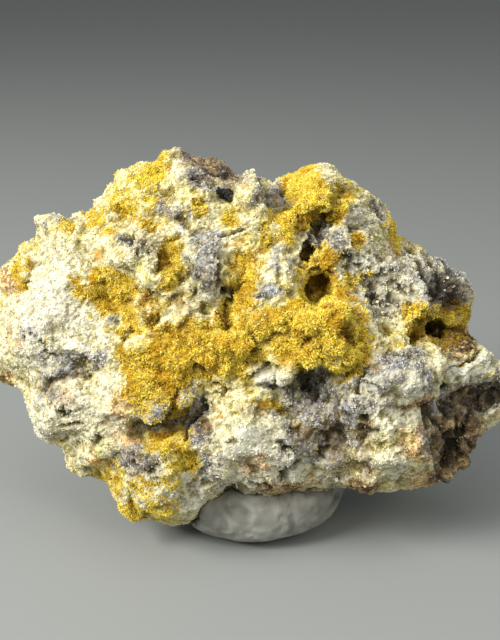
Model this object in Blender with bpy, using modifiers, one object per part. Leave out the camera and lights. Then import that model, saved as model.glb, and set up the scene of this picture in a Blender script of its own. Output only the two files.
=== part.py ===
"""A hand specimen of parsonsite and pyromorphite on its broken matrix, stuck upright on a pad of grey putty.

The stone is one solid: a front face that leans back, sculpted with the lumps, ledges and pits that the yellow
crust grew over, and a rough broken back. The putty is a squashed ball, moulded to the underside of the stone.
The stone's middle hangs a little to the left of the putty's.
The origin is the middle of the putty's flat foot, +Z is up, and the front face looks towards -Y.
"""

import math

import bmesh
import bpy
import numpy as np
from mathutils import Matrix, Vector, noise
from mathutils.bvhtree import BVHTree

MM = 0.001

# Driving dimensions, in millimetres unless the name says otherwise. The face is drawn on a leaning plane, with
# x to the right of a line that stands beside the putty's middle, and z up the plane from its lowest line.
FACE_LEAN_DEG = 20.0
FACE_PLANE_X = 1.2
FACE_PLANE_Y = -6.9
FACE_PLANE_Z = 0.75
FACE_CENTRE = (-1.5, 17.3)
FRONT_DEPTH = 8.5
BACK_DEPTH = 11.5

# How the stone swells from its outline: a lower fullness is flatter on top and steeper at the rim.
FRONT_FULLNESS = 0.62
BACK_FULLNESS = 0.80
DOME_ROUNDING = 0.85
RIDGE_DRIFT = 2.2
RIM_WIDTH = 2.5

# The eye that the face was drawn for sits this far in front of this point of the plane.
TAPER_CENTRE = (-1.5, 18.6)
TAPER_LENGTH = 89.0

# The break of the stone, from its large blocks down to its crumbs.
BLOCK_FIELD = (25.0, 13.0, 17.0)
BLOCK_SPACING = 4.2
BLOCK_STEP = 0.8
BLOCK_TILT = 0.24
BLOCK_JOINT = 0.35
BLOCK_SHARE_IN_FRONT = 0.45
BLOCK_SHARE_AT_RIM = 0.4
ROUGHNESS = 0.5
ROUGHNESS_SCALE = 3.2
LUMP_DEPTH = 0.55
LUMP_SCALE = 2.3
CRUMB_DEPTH = 0.3
CRUMB_SCALE = 1.05
CREASE_WIDTH = 0.45
MEAN_LUMP = 0.7
CHIP_COUNT = 26
CHIP_DEPTH = 1.5

# A stroke is flat out to the first reach and has faded out at the second, as shares of its half sizes.
STROKE_FLAT = 0.53
STROKE_END = 1.28
STROKE_FADE_DEPTH = 0.32
EDGE_WANDER = 0.6
EDGE_WANDER_SCALE = 2.6
UNDERCUT_UNEVENNESS = 0.75

STONE_VOXEL = 0.32
STONE_TRIANGLES = 7600

PUTTY_FOOT_RADIUS = 5.0
PUTTY_HEEL_RADIUS = 7.2
PUTTY_WAIST_RADIUS = 8.6
PUTTY_SHOULDER_RADIUS = 8.9
PUTTY_CORE_RADIUS = 4.5
PUTTY_HEEL_Z = 0.7
PUTTY_WAIST_Z = 2.4
PUTTY_SHOULDER_Z = 4.4
PUTTY_CORE_Z = 7.6
PUTTY_DENT = 0.06
PUTTY_SIDES = 14
PUTTY_GAP = 0.3

STONE_COLOUR = (0.52, 0.46, 0.27, 1.0)
STONE_FINISH = 0.85
PUTTY_COLOUR = (0.23, 0.235, 0.22, 1.0)
PUTTY_FINISH = 0.7

# The outline of the stone on the face plane, counter-clockwise from the tip on the right.
OUTLINE = [
    (21.5, 13.3), (20.8, 14.4), (19.3, 15.4), (18.2, 16.9), (17.3, 17.8), (17.0, 18.8), (17.2, 20.4),
    (16.4, 21.9), (15.5, 22.7), (14.0, 24.6), (13.4, 25.1), (11.8, 25.1), (11.2, 25.2), (11.0, 25.9),
    (10.6, 27.2), (9.5, 28.8), (8.1, 29.8), (6.1, 30.9), (5.3, 31.8), (4.5, 32.0), (3.4, 31.6),
    (1.9, 30.8), (0.4, 29.9), (0.1, 30.0), (-0.5, 30.5), (-1.1, 30.6), (-1.9, 30.5), (-2.6, 31.2),
    (-3.6, 31.7), (-4.8, 31.8), (-5.8, 32.5), (-7.2, 33.0), (-7.8, 33.2), (-8.7, 32.6), (-9.3, 31.8),
    (-10.8, 31.6), (-12.1, 31.5), (-12.8, 31.0), (-13.3, 30.0), (-14.2, 28.9), (-15.2, 27.8),
    (-16.8, 27.3), (-17.8, 27.6), (-18.8, 27.7), (-19.3, 26.3), (-19.3, 25.2), (-20.2, 25.3),
    (-20.7, 23.8), (-22.3, 22.8), (-23.6, 21.9), (-24.4, 20.0), (-24.6, 17.9), (-24.2, 15.7),
    (-23.2, 14.0), (-22.3, 13.5), (-20.9, 13.1), (-20.3, 12.1), (-20.5, 11.3), (-20.0, 9.9),
    (-19.3, 8.8), (-17.6, 8.1), (-16.8, 7.6), (-16.7, 6.6), (-16.1, 5.6), (-15.3, 5.6), (-14.7, 5.9),
    (-14.2, 5.4), (-13.4, 4.5), (-12.4, 3.1), (-12.2, 1.8), (-10.8, 1.3), (-9.0, 1.6), (-6.8, 1.5),
    (-5.8, 2.3), (-4.5, 3.4), (-3.2, 4.3), (-1.8, 4.0), (1.2, 3.8), (3.4, 4.1), (6.9, 4.2), (9.6, 4.4),
    (13.3, 4.3), (14.8, 4.7), (15.9, 5.3), (16.5, 6.0), (16.8, 7.3), (17.5, 8.4), (18.3, 9.6),
    (19.3, 10.0), (20.6, 10.9), (21.3, 12.1),
]

# Strokes that sculpt the front face: middle x and z, half width, half height, turn in degrees, and how far
# the stroke raises the face towards the viewer. A negative rise sinks a hollow.
FRONT_STROKES = [
    # The yellow shelf across the middle, its swollen right end and its lower-left lobe
    (2.0, 16.9, 8.0, 3.1, 3, 2.4), (6.2, 17.4, 3.2, 2.6, 0, 1.5), (-4.2, 16.2, 3.4, 2.2, 12, 1.2),
    (-9.8, 12.9, 3.4, 3.0, 25, 1.1), (0.5, 21.0, 3.6, 3.8, 0, 0.4),
    # The recess under the shelf, its darkest end, and the smooth slope at its right with the groove below
    (3.5, 13.1, 2.4, 1.3, 0, -1.6), (3.4, 13.6, 1.6, 1.3, -20, -1.3), (8.4, 11.4, 3.2, 0.5, 4, -0.6),
    (8.4, 14.0, 2.5, 1.7, -8, 1.0),
    # The grey knob in the middle, with the deep shadowed recess at its right
    (-5.0, 23.4, 1.6, 3.0, -10, 2.0), (-3.5, 26.0, 1.4, 1.4, 0, 0.4), (-3.3, 18.9, 0.9, 2.2, 16, -2.6),
    (-1.9, 21.6, 0.8, 1.9, -8, -0.9),
    # The pale lump left of the knob, and the yellow valley between them
    (-10.3, 23.3, 2.6, 2.9, 20, 1.1), (-7.9, 23.1, 1.1, 2.6, 24, -0.7), (-11.3, 25.0, 0.6, 0.5, 0, -0.7),
    # The crests along the top, from left to right, and the notches between them
    (-17.9, 26.2, 1.3, 1.1, 0, 0.8), (-11.2, 29.4, 2.2, 1.9, 0, 0.9), (-6.9, 30.4, 1.9, 2.6, -12, 0.8),
    (-12.2, 27.7, 1.0, 0.9, 0, -1.0), (-8.9, 29.8, 0.7, 1.8, 10, -0.8), (-3.5, 29.0, 0.9, 0.9, 0, -0.7),
    (-0.8, 29.3, 1.2, 1.8, -10, 1.5), (1.2, 29.6, 1.5, 1.6, 20, -2.4), (4.6, 29.8, 2.8, 2.2, -10, 1.2),
    (5.2, 28.0, 2.2, 1.3, -15, 1.3), (3.6, 25.9, 1.2, 1.8, 8, -1.5),
    # The pale plaque left of the deep pit, the crack above it and the small bridge that crosses it
    (0.1, 22.4, 2.0, 2.2, 0, 0.8), (2.8, 23.8, 0.5, 2.0, -6, -2.4), (4.2, 21.3, 1.4, 1.4, 0, -1.9),
    (4.7, 23.6, 0.8, 0.9, 0, 1.1),
    # The right shoulder: its swelling, its speckled hollow and the ridge between them
    (7.9, 26.2, 2.7, 2.7, -35, 1.2), (9.4, 20.6, 2.4, 2.4, 0, -0.9), (9.6, 23.6, 3.2, 0.7, -38, 0.7),
    # The ribbed lump at the far right, the groove beside it and the rim over its hollow
    (14.2, 22.6, 2.6, 3.0, 38, 1.6), (12.1, 23.2, 0.5, 2.6, 26, -1.5), (14.7, 19.6, 2.6, 0.9, -8, 1.3),
    (12.3, 18.9, 1.3, 1.8, 0, 1.0), (14.2, 17.7, 2.5, 1.1, 4, -1.6), (15.2, 15.6, 2.4, 1.0, 8, 0.7),
    # The grey lump below the hollow, and the dark hollow under the right tip
    (11.6, 14.3, 3.6, 2.4, 10, 1.9), (16.4, 12.1, 2.8, 1.3, 14, -2.3), (18.9, 14.9, 2.0, 0.9, -22, 0.8),
    (18.3, 11.0, 2.0, 0.9, 25, 0.5),
    # The slope below: its swelling, its cream lump, a small deep hole and the brown recess at the right
    (-0.6, 7.9, 4.2, 3.2, 0, 1.2), (5.6, 9.2, 1.5, 1.9, 0, -1.1), (8.0, 9.4, 0.9, 0.9, -30, -1.5),
    (11.0, 8.2, 3.2, 2.9, 0, 1.4), (15.1, 8.5, 1.7, 3.2, 14, -2.3), (8.6, 5.3, 1.2, 0.9, 0, 0.7),
    (8.4, 10.9, 1.8, 0.4, 6, 0.6), (14.2, 8.7, 0.5, 1.2, -8, 1.0), (16.4, 8.8, 0.7, 1.9, -14, 0.8),
    (15.1, 10.5, 0.8, 0.6, 10, 0.7), (13.6, 5.9, 1.0, 0.8, 0, 0.7), (15.0, 8.4, 0.4, 1.4, 8, -1.1),
    # The groove that parts the lower left from the middle
    (-7.8, 10.5, 3.7, 0.8, 20, -1.9), (-5.4, 8.9, 0.7, 1.9, 12, -1.4), (-10.9, 9.6, 1.5, 0.6, -8, -0.6),
    # The lower-left nose, its grey lens and the hollow beside it
    (-9.6, 5.3, 3.3, 3.5, -18, 1.2), (-10.0, 6.9, 2.7, 1.3, -12, 0.9), (-14.6, 8.7, 0.6, 0.6, 0, -0.9),
    # The left flank: a grey ledge, the groove under it and the lumps below
    (-15.1, 16.0, 3.2, 1.3, 10, 1.1), (-15.9, 14.3, 2.9, 0.5, 14, -1.1), (-17.0, 10.9, 2.5, 1.7, 0, 0.8),
    (-14.0, 12.0, 1.6, 1.2, 0, 0.4), (-20.6, 18.0, 2.0, 3.0, 0, 0.6), (-21.3, 22.6, 1.6, 1.0, -30, 0.7),
    # A small ring-shaped pit in the yellow crust
    (-9.8, 18.5, 1.1, 1.0, 0, 0.5), (-9.9, 18.5, 0.5, 0.5, 0, -1.2), (-11.6, 20.4, 2.7, 1.9, -20, -0.6),
]

# The same for the broken back, seen from behind, where a positive rise stands out from the back.
BACK_STROKES = [
    (-13.0, 20.0, 6.0, 5.0, 20, 2.0), (-5.0, 25.0, 5.0, 4.0, -15, -1.6), (4.0, 20.0, 6.0, 6.5, 10, 2.6),
    (12.0, 17.0, 5.0, 4.0, -25, -1.5), (-2.0, 12.5, 5.0, 2.2, 5, -1.4), (8.5, 10.5, 4.5, 3.0, 0, 1.4),
    (-14.0, 11.0, 4.5, 3.5, -20, 1.2), (-19.0, 18.0, 2.5, 3.5, 0, -1.0), (9.5, 26.0, 3.0, 2.5, 30, 1.4),
    (-1.0, 19.0, 1.2, 6.0, 30, -1.4), (-9.0, 16.0, 5.5, 1.0, 12, -1.5), (16.5, 12.5, 2.5, 2.0, 0, 0.8),
]

# Hollows that undercut the face: x and z of the mouth, how far the middle lies behind it, the half width,
# half height and half depth, and a turn in degrees.
UNDERCUTS = [
    ("deep_pit", 4.2, 21.2, 0.3, (1.4, 1.5, 1.5), 6),
    ("pit_cleft", 3.2, 24.0, 0.2, (0.8, 0.95, 1.1), 20),
    ("rim_hollow", 14.0, 17.8, 0.5, (2.4, 1.0, 1.7), 6),
    ("tip_hollow", 16.6, 12.4, 0.1, (2.6, 1.2, 1.2), 14),
    ("peak_hollow", 1.3, 29.2, 0.6, (0.9, 1.2, 1.5), 12),
]

# Flat breaks that trim the back into planes: outward direction in x, depth and z, and reach from the middle.
BACK_BREAKS = [
    ((0.10, 1.0, 0.15), 9.6), ((-0.75, 0.8, 0.25), 15.4), ((0.8, 0.75, 0.05), 14.6),
    ((0.2, 0.8, 0.85), 13.6), ((-0.4, 0.75, -0.75), 14.4), ((0.45, 0.7, -0.8), 13.3),
    ((-0.45, 0.9, 0.8), 15.0), ((-1.0, 0.25, -0.2), 21.6), ((1.0, 0.35, 0.4), 18.6),
]


def clear_scene():
    for obj in list(bpy.data.objects):
        bpy.data.objects.remove(obj, do_unlink=True)


def new_collection(name):
    collection = bpy.data.collections.new(name)
    bpy.context.scene.collection.children.link(collection)
    return collection


def new_material(name, colour, roughness):
    material = bpy.data.materials.new(name)
    material.use_nodes = True
    shader = material.node_tree.nodes["Principled BSDF"]
    shader.inputs["Base Color"].default_value = colour
    shader.inputs["Roughness"].default_value = roughness
    shader.inputs["Metallic"].default_value = 0.0
    return material


def object_from_bmesh(name, bm, collection):
    mesh = bpy.data.meshes.new(name)
    bm.to_mesh(mesh)
    bm.free()
    obj = bpy.data.objects.new(name, mesh)
    collection.objects.link(obj)
    return obj


def apply_modifiers(obj):
    """Makes the evaluated mesh the object's own, and clears its modifiers."""
    graph = bpy.context.evaluated_depsgraph_get()
    mesh = bpy.data.meshes.new_from_object(obj.evaluated_get(graph))
    obj.modifiers.clear()
    obj.data = mesh


def as_cutter(obj):
    obj.hide_render = True
    obj.display_type = "WIRE"


def face_frame():
    """The leaning face plane: local x right, local -y towards the viewer, local z up the plane."""
    lean = Matrix.Rotation(math.radians(-FACE_LEAN_DEG), 4, "X")
    return Matrix.Translation(Vector((FACE_PLANE_X, FACE_PLANE_Y, FACE_PLANE_Z)) * MM) @ lean


def middle_of_stone():
    return np.array([FACE_CENTRE[0], 0, FACE_CENTRE[1]])


def outline_by_angle():
    """The outline as sorted angles and radii about the middle of the face, closed round the circle."""
    points = np.array(OUTLINE) - np.array(FACE_CENTRE)
    angles = np.arctan2(points[:, 1], points[:, 0])
    order = np.argsort(angles)
    angles = angles[order]
    radii = np.hypot(points[:, 0], points[:, 1])[order]
    turn = 2 * math.pi
    return np.concatenate([angles - turn, angles, angles + turn]), np.tile(radii, 3)


def smooth_step(value):
    value = min(max(value, 0.0), 1.0)
    return value * value * (3 - 2 * value)


def strokes_at(x, z, strokes):
    """The rise that the strokes give at one place. Each is flat in its middle and steep at its edge."""
    wander = noise.noise_vector(Vector((x, 7.3, z)) / EDGE_WANDER_SCALE)
    x = x + wander.x * 2 * EDGE_WANDER
    z = z + wander.z * 2 * EDGE_WANDER
    rise = 0.0
    for middle_x, middle_z, half_width, half_height, turn, height in strokes:
        cosine = math.cos(math.radians(turn))
        sine = math.sin(math.radians(turn))
        across = ((x - middle_x) * cosine + (z - middle_z) * sine) / half_width
        along = ((z - middle_z) * cosine - (x - middle_x) * sine) / half_height
        reach = math.hypot(across, along)
        rise += height * smooth_step((STROKE_END - reach) / (STROKE_END - STROKE_FLAT))
    return rise


def block_seeds():
    """Scattered middles of the angular blocks that the stone breaks into, each with its own step and tilt."""
    rng = np.random.default_rng(11)
    half_field = np.array(BLOCK_FIELD)
    count = int((2 * half_field).prod() / BLOCK_SPACING**3)
    places = rng.uniform(-half_field, half_field, (count, 3)) + middle_of_stone()
    steps = rng.uniform(-BLOCK_STEP, BLOCK_STEP, count)
    tilts = rng.normal(0, BLOCK_TILT, (count, 3))
    return places, steps, tilts


def block_offset(place, seeds):
    """How far the surface steps out or in on the nearest block, eased over the joint to the next block."""
    places, steps, tilts = seeds
    gaps = place - places
    distances = np.sqrt((gaps**2).sum(1))
    near = np.argpartition(distances, 3)[:4]
    weights = np.exp(-(distances[near] - distances[near].min()) / BLOCK_JOINT)
    offsets = steps[near] + (gaps[near] * tilts[near]).sum(1)
    return float((weights * offsets).sum() / weights.sum())


def swollen_ball(bm):
    """Draws a ball out to the outline of the stone, with its own fullness in front and behind."""
    angles, radii = outline_by_angle()
    for vert in bm.verts:
        x, y, z = vert.co.normalized()
        angle = math.atan2(z, x)
        flat = math.hypot(x, z)
        fullness = FRONT_FULLNESS if y < 0 else BACK_FULLNESS
        depth = FRONT_DEPTH if y < 0 else BACK_DEPTH
        reach = float(np.interp(angle, angles, radii)) * flat**fullness
        ridge_drift = RIDGE_DRIFT * noise.noise(Vector((math.cos(angle), 3.1, math.sin(angle))) * 1.7)
        vert.co.x = FACE_CENTRE[0] + reach * math.cos(angle)
        vert.co.z = FACE_CENTRE[1] + reach * math.sin(angle)
        vert.co.y = depth * math.copysign(abs(y) ** DOME_ROUNDING, y) + ridge_drift * flat**2


def trim_to_plane(places, outward, reach):
    """Pushes what stands past a plane back onto it, less and less towards the outline."""
    past = np.maximum((places - middle_of_stone()) @ outward - reach, 0)
    ease = np.clip(places[:, 1] / RIM_WIDTH, 0, 1)
    places -= (past * ease)[:, None] * outward


def break_back(bm):
    """Breaks the back into a few large planes, then knocks flat chips off it."""
    places = np.array([vert.co for vert in bm.verts])
    for direction, reach in BACK_BREAKS:
        outward = np.array(direction) / np.linalg.norm(direction)
        trim_to_plane(places, outward, reach)
    rng = np.random.default_rng(5)
    for _ in range(CHIP_COUNT):
        outward = rng.normal(size=3)
        outward[1] = abs(outward[1])
        outward /= np.linalg.norm(outward)
        reach = ((places - middle_of_stone()) @ outward).max()
        trim_to_plane(places, outward, reach - CHIP_DEPTH * rng.uniform(0.4, 1.0))
    for vert, place in zip(bm.verts, places):
        vert.co = place


def sculpt_strokes(bm):
    """Raises and sinks the face and the back by their strokes, fading out near the outline."""
    for vert in bm.verts:
        front = vert.co.y < 0
        strokes = FRONT_STROKES if front else BACK_STROKES
        depth = FRONT_DEPTH if front else BACK_DEPTH
        fade = smooth_step(abs(vert.co.y) / (STROKE_FADE_DEPTH * depth))
        rise = strokes_at(vert.co.x, vert.co.z, strokes) * fade
        vert.co.y += -rise if front else rise


def lumps_at(place, scale):
    """Lumps from 0 in the creases between them to 1 on top, each a little higher or lower than the next."""
    gaps, middles = noise.voronoi(place / scale + Vector((9.0, 4.0, 2.0)))
    height = 0.75 + 0.5 * noise.noise(middles[0] * 3.1)
    return smooth_step((gaps[1] - gaps[0]) / CREASE_WIDTH) * height


def break_surface(bm, seeds):
    """Breaks the even surface into angular blocks, lumps and crumbs, and roughens it."""
    bm.normal_update()
    moves = []
    for vert in bm.verts:
        block_share = BLOCK_SHARE_IN_FRONT if vert.co.y < 0 else 1.0
        from_rim = smooth_step(abs(vert.co.y) / RIM_WIDTH)
        rim_share = BLOCK_SHARE_AT_RIM + (1 - BLOCK_SHARE_AT_RIM) * from_rim
        block = block_offset(np.array(vert.co), seeds) * block_share * rim_share
        rough = ROUGHNESS * noise.fractal(vert.co / ROUGHNESS_SCALE, 0.9, 2.1, 4)
        lumps = LUMP_DEPTH * (lumps_at(vert.co, LUMP_SCALE) - MEAN_LUMP)
        crumbs = CRUMB_DEPTH * (lumps_at(vert.co, CRUMB_SCALE) - MEAN_LUMP)
        moves.append(vert.normal * (block + rough + lumps + crumbs))
    for vert, move in zip(bm.verts, moves):
        vert.co += move


def taper_to_viewer(bm):
    """Draws the front in a little towards the middle of the view, the nearer the more."""
    for vert in bm.verts:
        share = 1 + vert.co.y / TAPER_LENGTH
        vert.co.x = TAPER_CENTRE[0] + (vert.co.x - TAPER_CENTRE[0]) * share
        vert.co.z = TAPER_CENTRE[1] + (vert.co.z - TAPER_CENTRE[1]) * share


def undercut(name, mouth, sink, half_sizes, turn, collection):
    """An uneven ellipsoid behind its mouth, which hollows the face out under a rim."""
    bm = bmesh.new()
    bmesh.ops.create_icosphere(bm, subdivisions=3, radius=1.0)
    for vert in bm.verts:
        vert.co *= 1 + UNDERCUT_UNEVENNESS * noise.noise(vert.co * 1.8 + mouth)
    bmesh.ops.scale(bm, vec=(half_sizes[0], half_sizes[2], half_sizes[1]), verts=bm.verts)
    bmesh.ops.rotate(bm, cent=(0, 0, 0), matrix=Matrix.Rotation(math.radians(-turn), 3, "Y"), verts=bm.verts)
    bmesh.ops.translate(bm, vec=mouth + Vector((0, sink, 0)), verts=bm.verts)
    bmesh.ops.scale(bm, vec=(MM, MM, MM), verts=bm.verts)
    cutter = object_from_bmesh(name, bm, collection)
    cutter.matrix_world = face_frame()
    as_cutter(cutter)
    return cutter


def mouths_on_face(bm):
    """Where each undercut meets the face, as looked at along the line of the view."""
    tree = BVHTree.FromBMesh(bm)
    eye = Vector((TAPER_CENTRE[0], -TAPER_LENGTH, TAPER_CENTRE[1]))
    return [tree.ray_cast(eye, Vector((x, 0, z)) - eye)[0] for _, x, z, _, _, _ in UNDERCUTS]


def remesh_evenly(obj):
    remesh = obj.modifiers.new("even_faces", "REMESH")
    remesh.mode = "VOXEL"
    remesh.voxel_size = STONE_VOXEL * MM
    apply_modifiers(obj)


def drop_scraps(obj):
    """Keeps the largest shell of the mesh, and drops the crumbs and bubbles that lie loose from it."""
    bm = bmesh.new()
    bm.from_mesh(obj.data)
    left = set(bm.verts)
    shells = []
    while left:
        shell = set()
        front = [left.pop()]
        while front:
            vert = front.pop()
            shell.add(vert)
            near = [edge.other_vert(vert) for edge in vert.link_edges if edge.other_vert(vert) in left]
            left.difference_update(near)
            front.extend(near)
        shells.append(shell)
    largest = max(shells, key=len)
    bmesh.ops.delete(bm, geom=[vert for vert in bm.verts if vert not in largest], context="VERTS")
    bm.to_mesh(obj.data)
    bm.free()


def rough_stone(collection):
    """The stone before it is undercut, and where the mouths of its undercuts lie on it."""
    bm = bmesh.new()
    bmesh.ops.create_icosphere(bm, subdivisions=6, radius=1.0)
    swollen_ball(bm)
    break_back(bm)
    sculpt_strokes(bm)
    bmesh.ops.scale(bm, vec=(MM, MM, MM), verts=bm.verts)
    stone = object_from_bmesh("matrix", bm, collection)
    remesh_evenly(stone)

    bm = bmesh.new()
    bm.from_mesh(stone.data)
    bmesh.ops.scale(bm, vec=(1 / MM, 1 / MM, 1 / MM), verts=bm.verts)
    break_surface(bm, block_seeds())
    taper_to_viewer(bm)
    mouths = mouths_on_face(bm)
    bmesh.ops.scale(bm, vec=(MM, MM, MM), verts=bm.verts)
    bm.to_mesh(stone.data)
    bm.free()
    remesh_evenly(stone)
    stone.matrix_world = face_frame()
    return stone, mouths


def make_stone(parts, cutters):
    """The matrix with its crust: one solid, from a ball drawn out to the outline, sculpted and undercut."""
    stone, mouths = rough_stone(parts)
    for (name, _, _, sink, half_sizes, turn), mouth in zip(UNDERCUTS, mouths):
        cut = stone.modifiers.new(name, "BOOLEAN")
        cut.operation = "DIFFERENCE"
        cut.object = undercut(name, mouth, sink, half_sizes, turn, cutters)
    bpy.context.view_layer.update()
    apply_modifiers(stone)
    remesh_evenly(stone)
    drop_scraps(stone)

    thin = stone.modifiers.new("fewer_faces", "DECIMATE")
    thin.ratio = STONE_TRIANGLES / sum(len(face.vertices) - 2 for face in stone.data.polygons)
    apply_modifiers(stone)
    stone.data.materials.clear()
    stone.data.materials.append(new_material("crusted_stone", STONE_COLOUR, STONE_FINISH))
    return stone


def putty_pad(collection):
    """A ball of putty squashed on the surface: a coarse ring cage, dented by fingers, then smoothed."""
    rings = [
        (PUTTY_FOOT_RADIUS, 0.0), (PUTTY_HEEL_RADIUS, PUTTY_HEEL_Z), (PUTTY_WAIST_RADIUS, PUTTY_WAIST_Z),
        (PUTTY_SHOULDER_RADIUS, PUTTY_SHOULDER_Z), (PUTTY_CORE_RADIUS, PUTTY_CORE_Z),
    ]
    bm = bmesh.new()
    ring = bmesh.ops.create_circle(bm, cap_ends=True, segments=PUTTY_SIDES, radius=rings[0][0])["verts"]
    edges = [edge for edge in bm.edges if all(vert in ring for vert in edge.verts)]
    for radius, height in rings[1:]:
        grown = bmesh.ops.extrude_edge_only(bm, edges=edges)["geom"]
        ring = [item for item in grown if isinstance(item, bmesh.types.BMVert)]
        edges = [item for item in grown if isinstance(item, bmesh.types.BMEdge)
                 and all(vert in ring for vert in item.verts)]
        for vert in ring:
            direction = Vector((vert.co.x, vert.co.y, 0)).normalized()
            dent = 1 + PUTTY_DENT * noise.noise(direction * 1.9 + Vector((2.0, 5.0, height * 0.4)))
            vert.co = direction * radius * dent + Vector((0, 0, height))
    bmesh.ops.contextual_create(bm, geom=edges)
    bmesh.ops.recalc_face_normals(bm, faces=bm.faces)
    bmesh.ops.scale(bm, vec=(MM, MM, MM), verts=bm.verts)
    pad = object_from_bmesh("putty", bm, collection)

    crease = pad.data.attributes.new("crease_edge", "FLOAT", "EDGE")
    for edge in pad.data.edges:
        on_foot = all(abs(pad.data.vertices[index].co.z) < 1e-6 for index in edge.vertices)
        crease.data[edge.index].value = 1.0 if on_foot else 0.0
    smooth = pad.modifiers.new("smooth", "SUBSURF")
    smooth.levels = 2
    smooth.render_levels = 2
    apply_modifiers(pad)
    return pad


def make_putty(stone, parts, cutters):
    """The pad with the shape of the stone's underside pressed into its top, a hair's gap away from it."""
    pad = putty_pad(parts)
    press = bpy.data.objects.new("stone_press", stone.data.copy())
    cutters.objects.link(press)
    press.matrix_world = stone.matrix_world
    as_cutter(press)
    swell = press.modifiers.new("gap", "DISPLACE")
    swell.strength = PUTTY_GAP * MM
    swell.mid_level = 0.0
    cut = pad.modifiers.new("underside", "BOOLEAN")
    cut.operation = "DIFFERENCE"
    cut.object = press
    pad.data.materials.append(new_material("grey_putty", PUTTY_COLOUR, PUTTY_FINISH))
    return pad


def main():
    clear_scene()
    parts = new_collection("parsonsite_specimen")
    cutters = new_collection("cutters")
    stone = make_stone(parts, cutters)
    make_putty(stone, parts, cutters)


if __name__ == "__main__":
    main()
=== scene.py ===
import math

import bmesh
import bpy
import numpy as np
from mathutils import Matrix, Vector, noise


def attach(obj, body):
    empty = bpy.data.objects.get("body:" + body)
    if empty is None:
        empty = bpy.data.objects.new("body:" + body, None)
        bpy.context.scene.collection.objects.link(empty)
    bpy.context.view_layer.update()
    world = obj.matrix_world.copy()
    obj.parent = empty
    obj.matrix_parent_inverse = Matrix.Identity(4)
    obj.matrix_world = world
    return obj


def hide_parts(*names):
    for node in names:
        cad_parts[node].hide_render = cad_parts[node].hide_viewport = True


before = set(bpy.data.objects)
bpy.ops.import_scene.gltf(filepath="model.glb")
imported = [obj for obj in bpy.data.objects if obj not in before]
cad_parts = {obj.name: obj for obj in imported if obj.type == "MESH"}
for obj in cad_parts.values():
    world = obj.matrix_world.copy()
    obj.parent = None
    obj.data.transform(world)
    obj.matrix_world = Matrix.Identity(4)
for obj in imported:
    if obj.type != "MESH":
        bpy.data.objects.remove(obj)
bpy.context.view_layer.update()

MM = 0.001

# The stone
# A broken piece of quartz and galena matrix, grown over with a sugary crust of lead minerals. Its lumps and
# ledges are the solid's own, and the crust breaks them up into crumbs down to a few tenths of a millimetre.

# The face is drawn on a plane that leans back: its zero point, and the eye across, up and before it.
LEAN = math.radians(20)
PLANE_X = 1.2
PLANE_Y = -6.9
PLANE_Z = 0.75
EYE_X = -1.5
EYE_Z = 18.6
EYE_DISTANCE = 89.0
FACE_DEPTH = (6.0, 9.0)

# How the surface is broken up: sizes, rises and depths in millimetres, and rounds of smoothing.
STONE_MESH_STEP = 0.24
FACET_SMOOTHING = 4
DRIFT = 0.30
DRIFT_SIZE = 1.1
RAGGEDNESS = 0.55
RAGGED_SIZE = 0.6
WARP = 0.35
WARP_SIZE = 1.3
BLOCK_SIZE = 2.1
BLOCK_RISE = 0.34
CHUNK_SIZE = 0.95
CHUNK_RISE = 0.20
CLUMP_SIZE = 0.85
CLUMP_RISE = 0.38
GRAIN_SIZE = 0.45
GRAIN_RISE = 0.07
SWELL_SIZE = 0.9
SWELL_RISE = 0.14
CRUMB_SIZE = 0.55
CRUMB_PIT = 0.10
BREAK_SIZE = 1.5
BREAK_RISE = 0.30
SPLINTER_SIZE = 0.6
SPLINTER_RISE = 0.22
RIDGE_RISE = 0.34
CRACK_DEPTH = 0.55
PORE_DEPTH = 0.5
LACE_SIZE = 0.52
LACE_DEPTH = 0.30
HOLLOW_ROUNDS = 30
PIT_ROUNDS = 6
SPECKLE_SIZE = 0.7
FINE_SPECKLE_SIZE = 0.33
FLECK_SIZE = 2.4
COLOUR_DRIFT = 0.45
COLOUR_DRIFT_SIZE = 2.3

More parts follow.
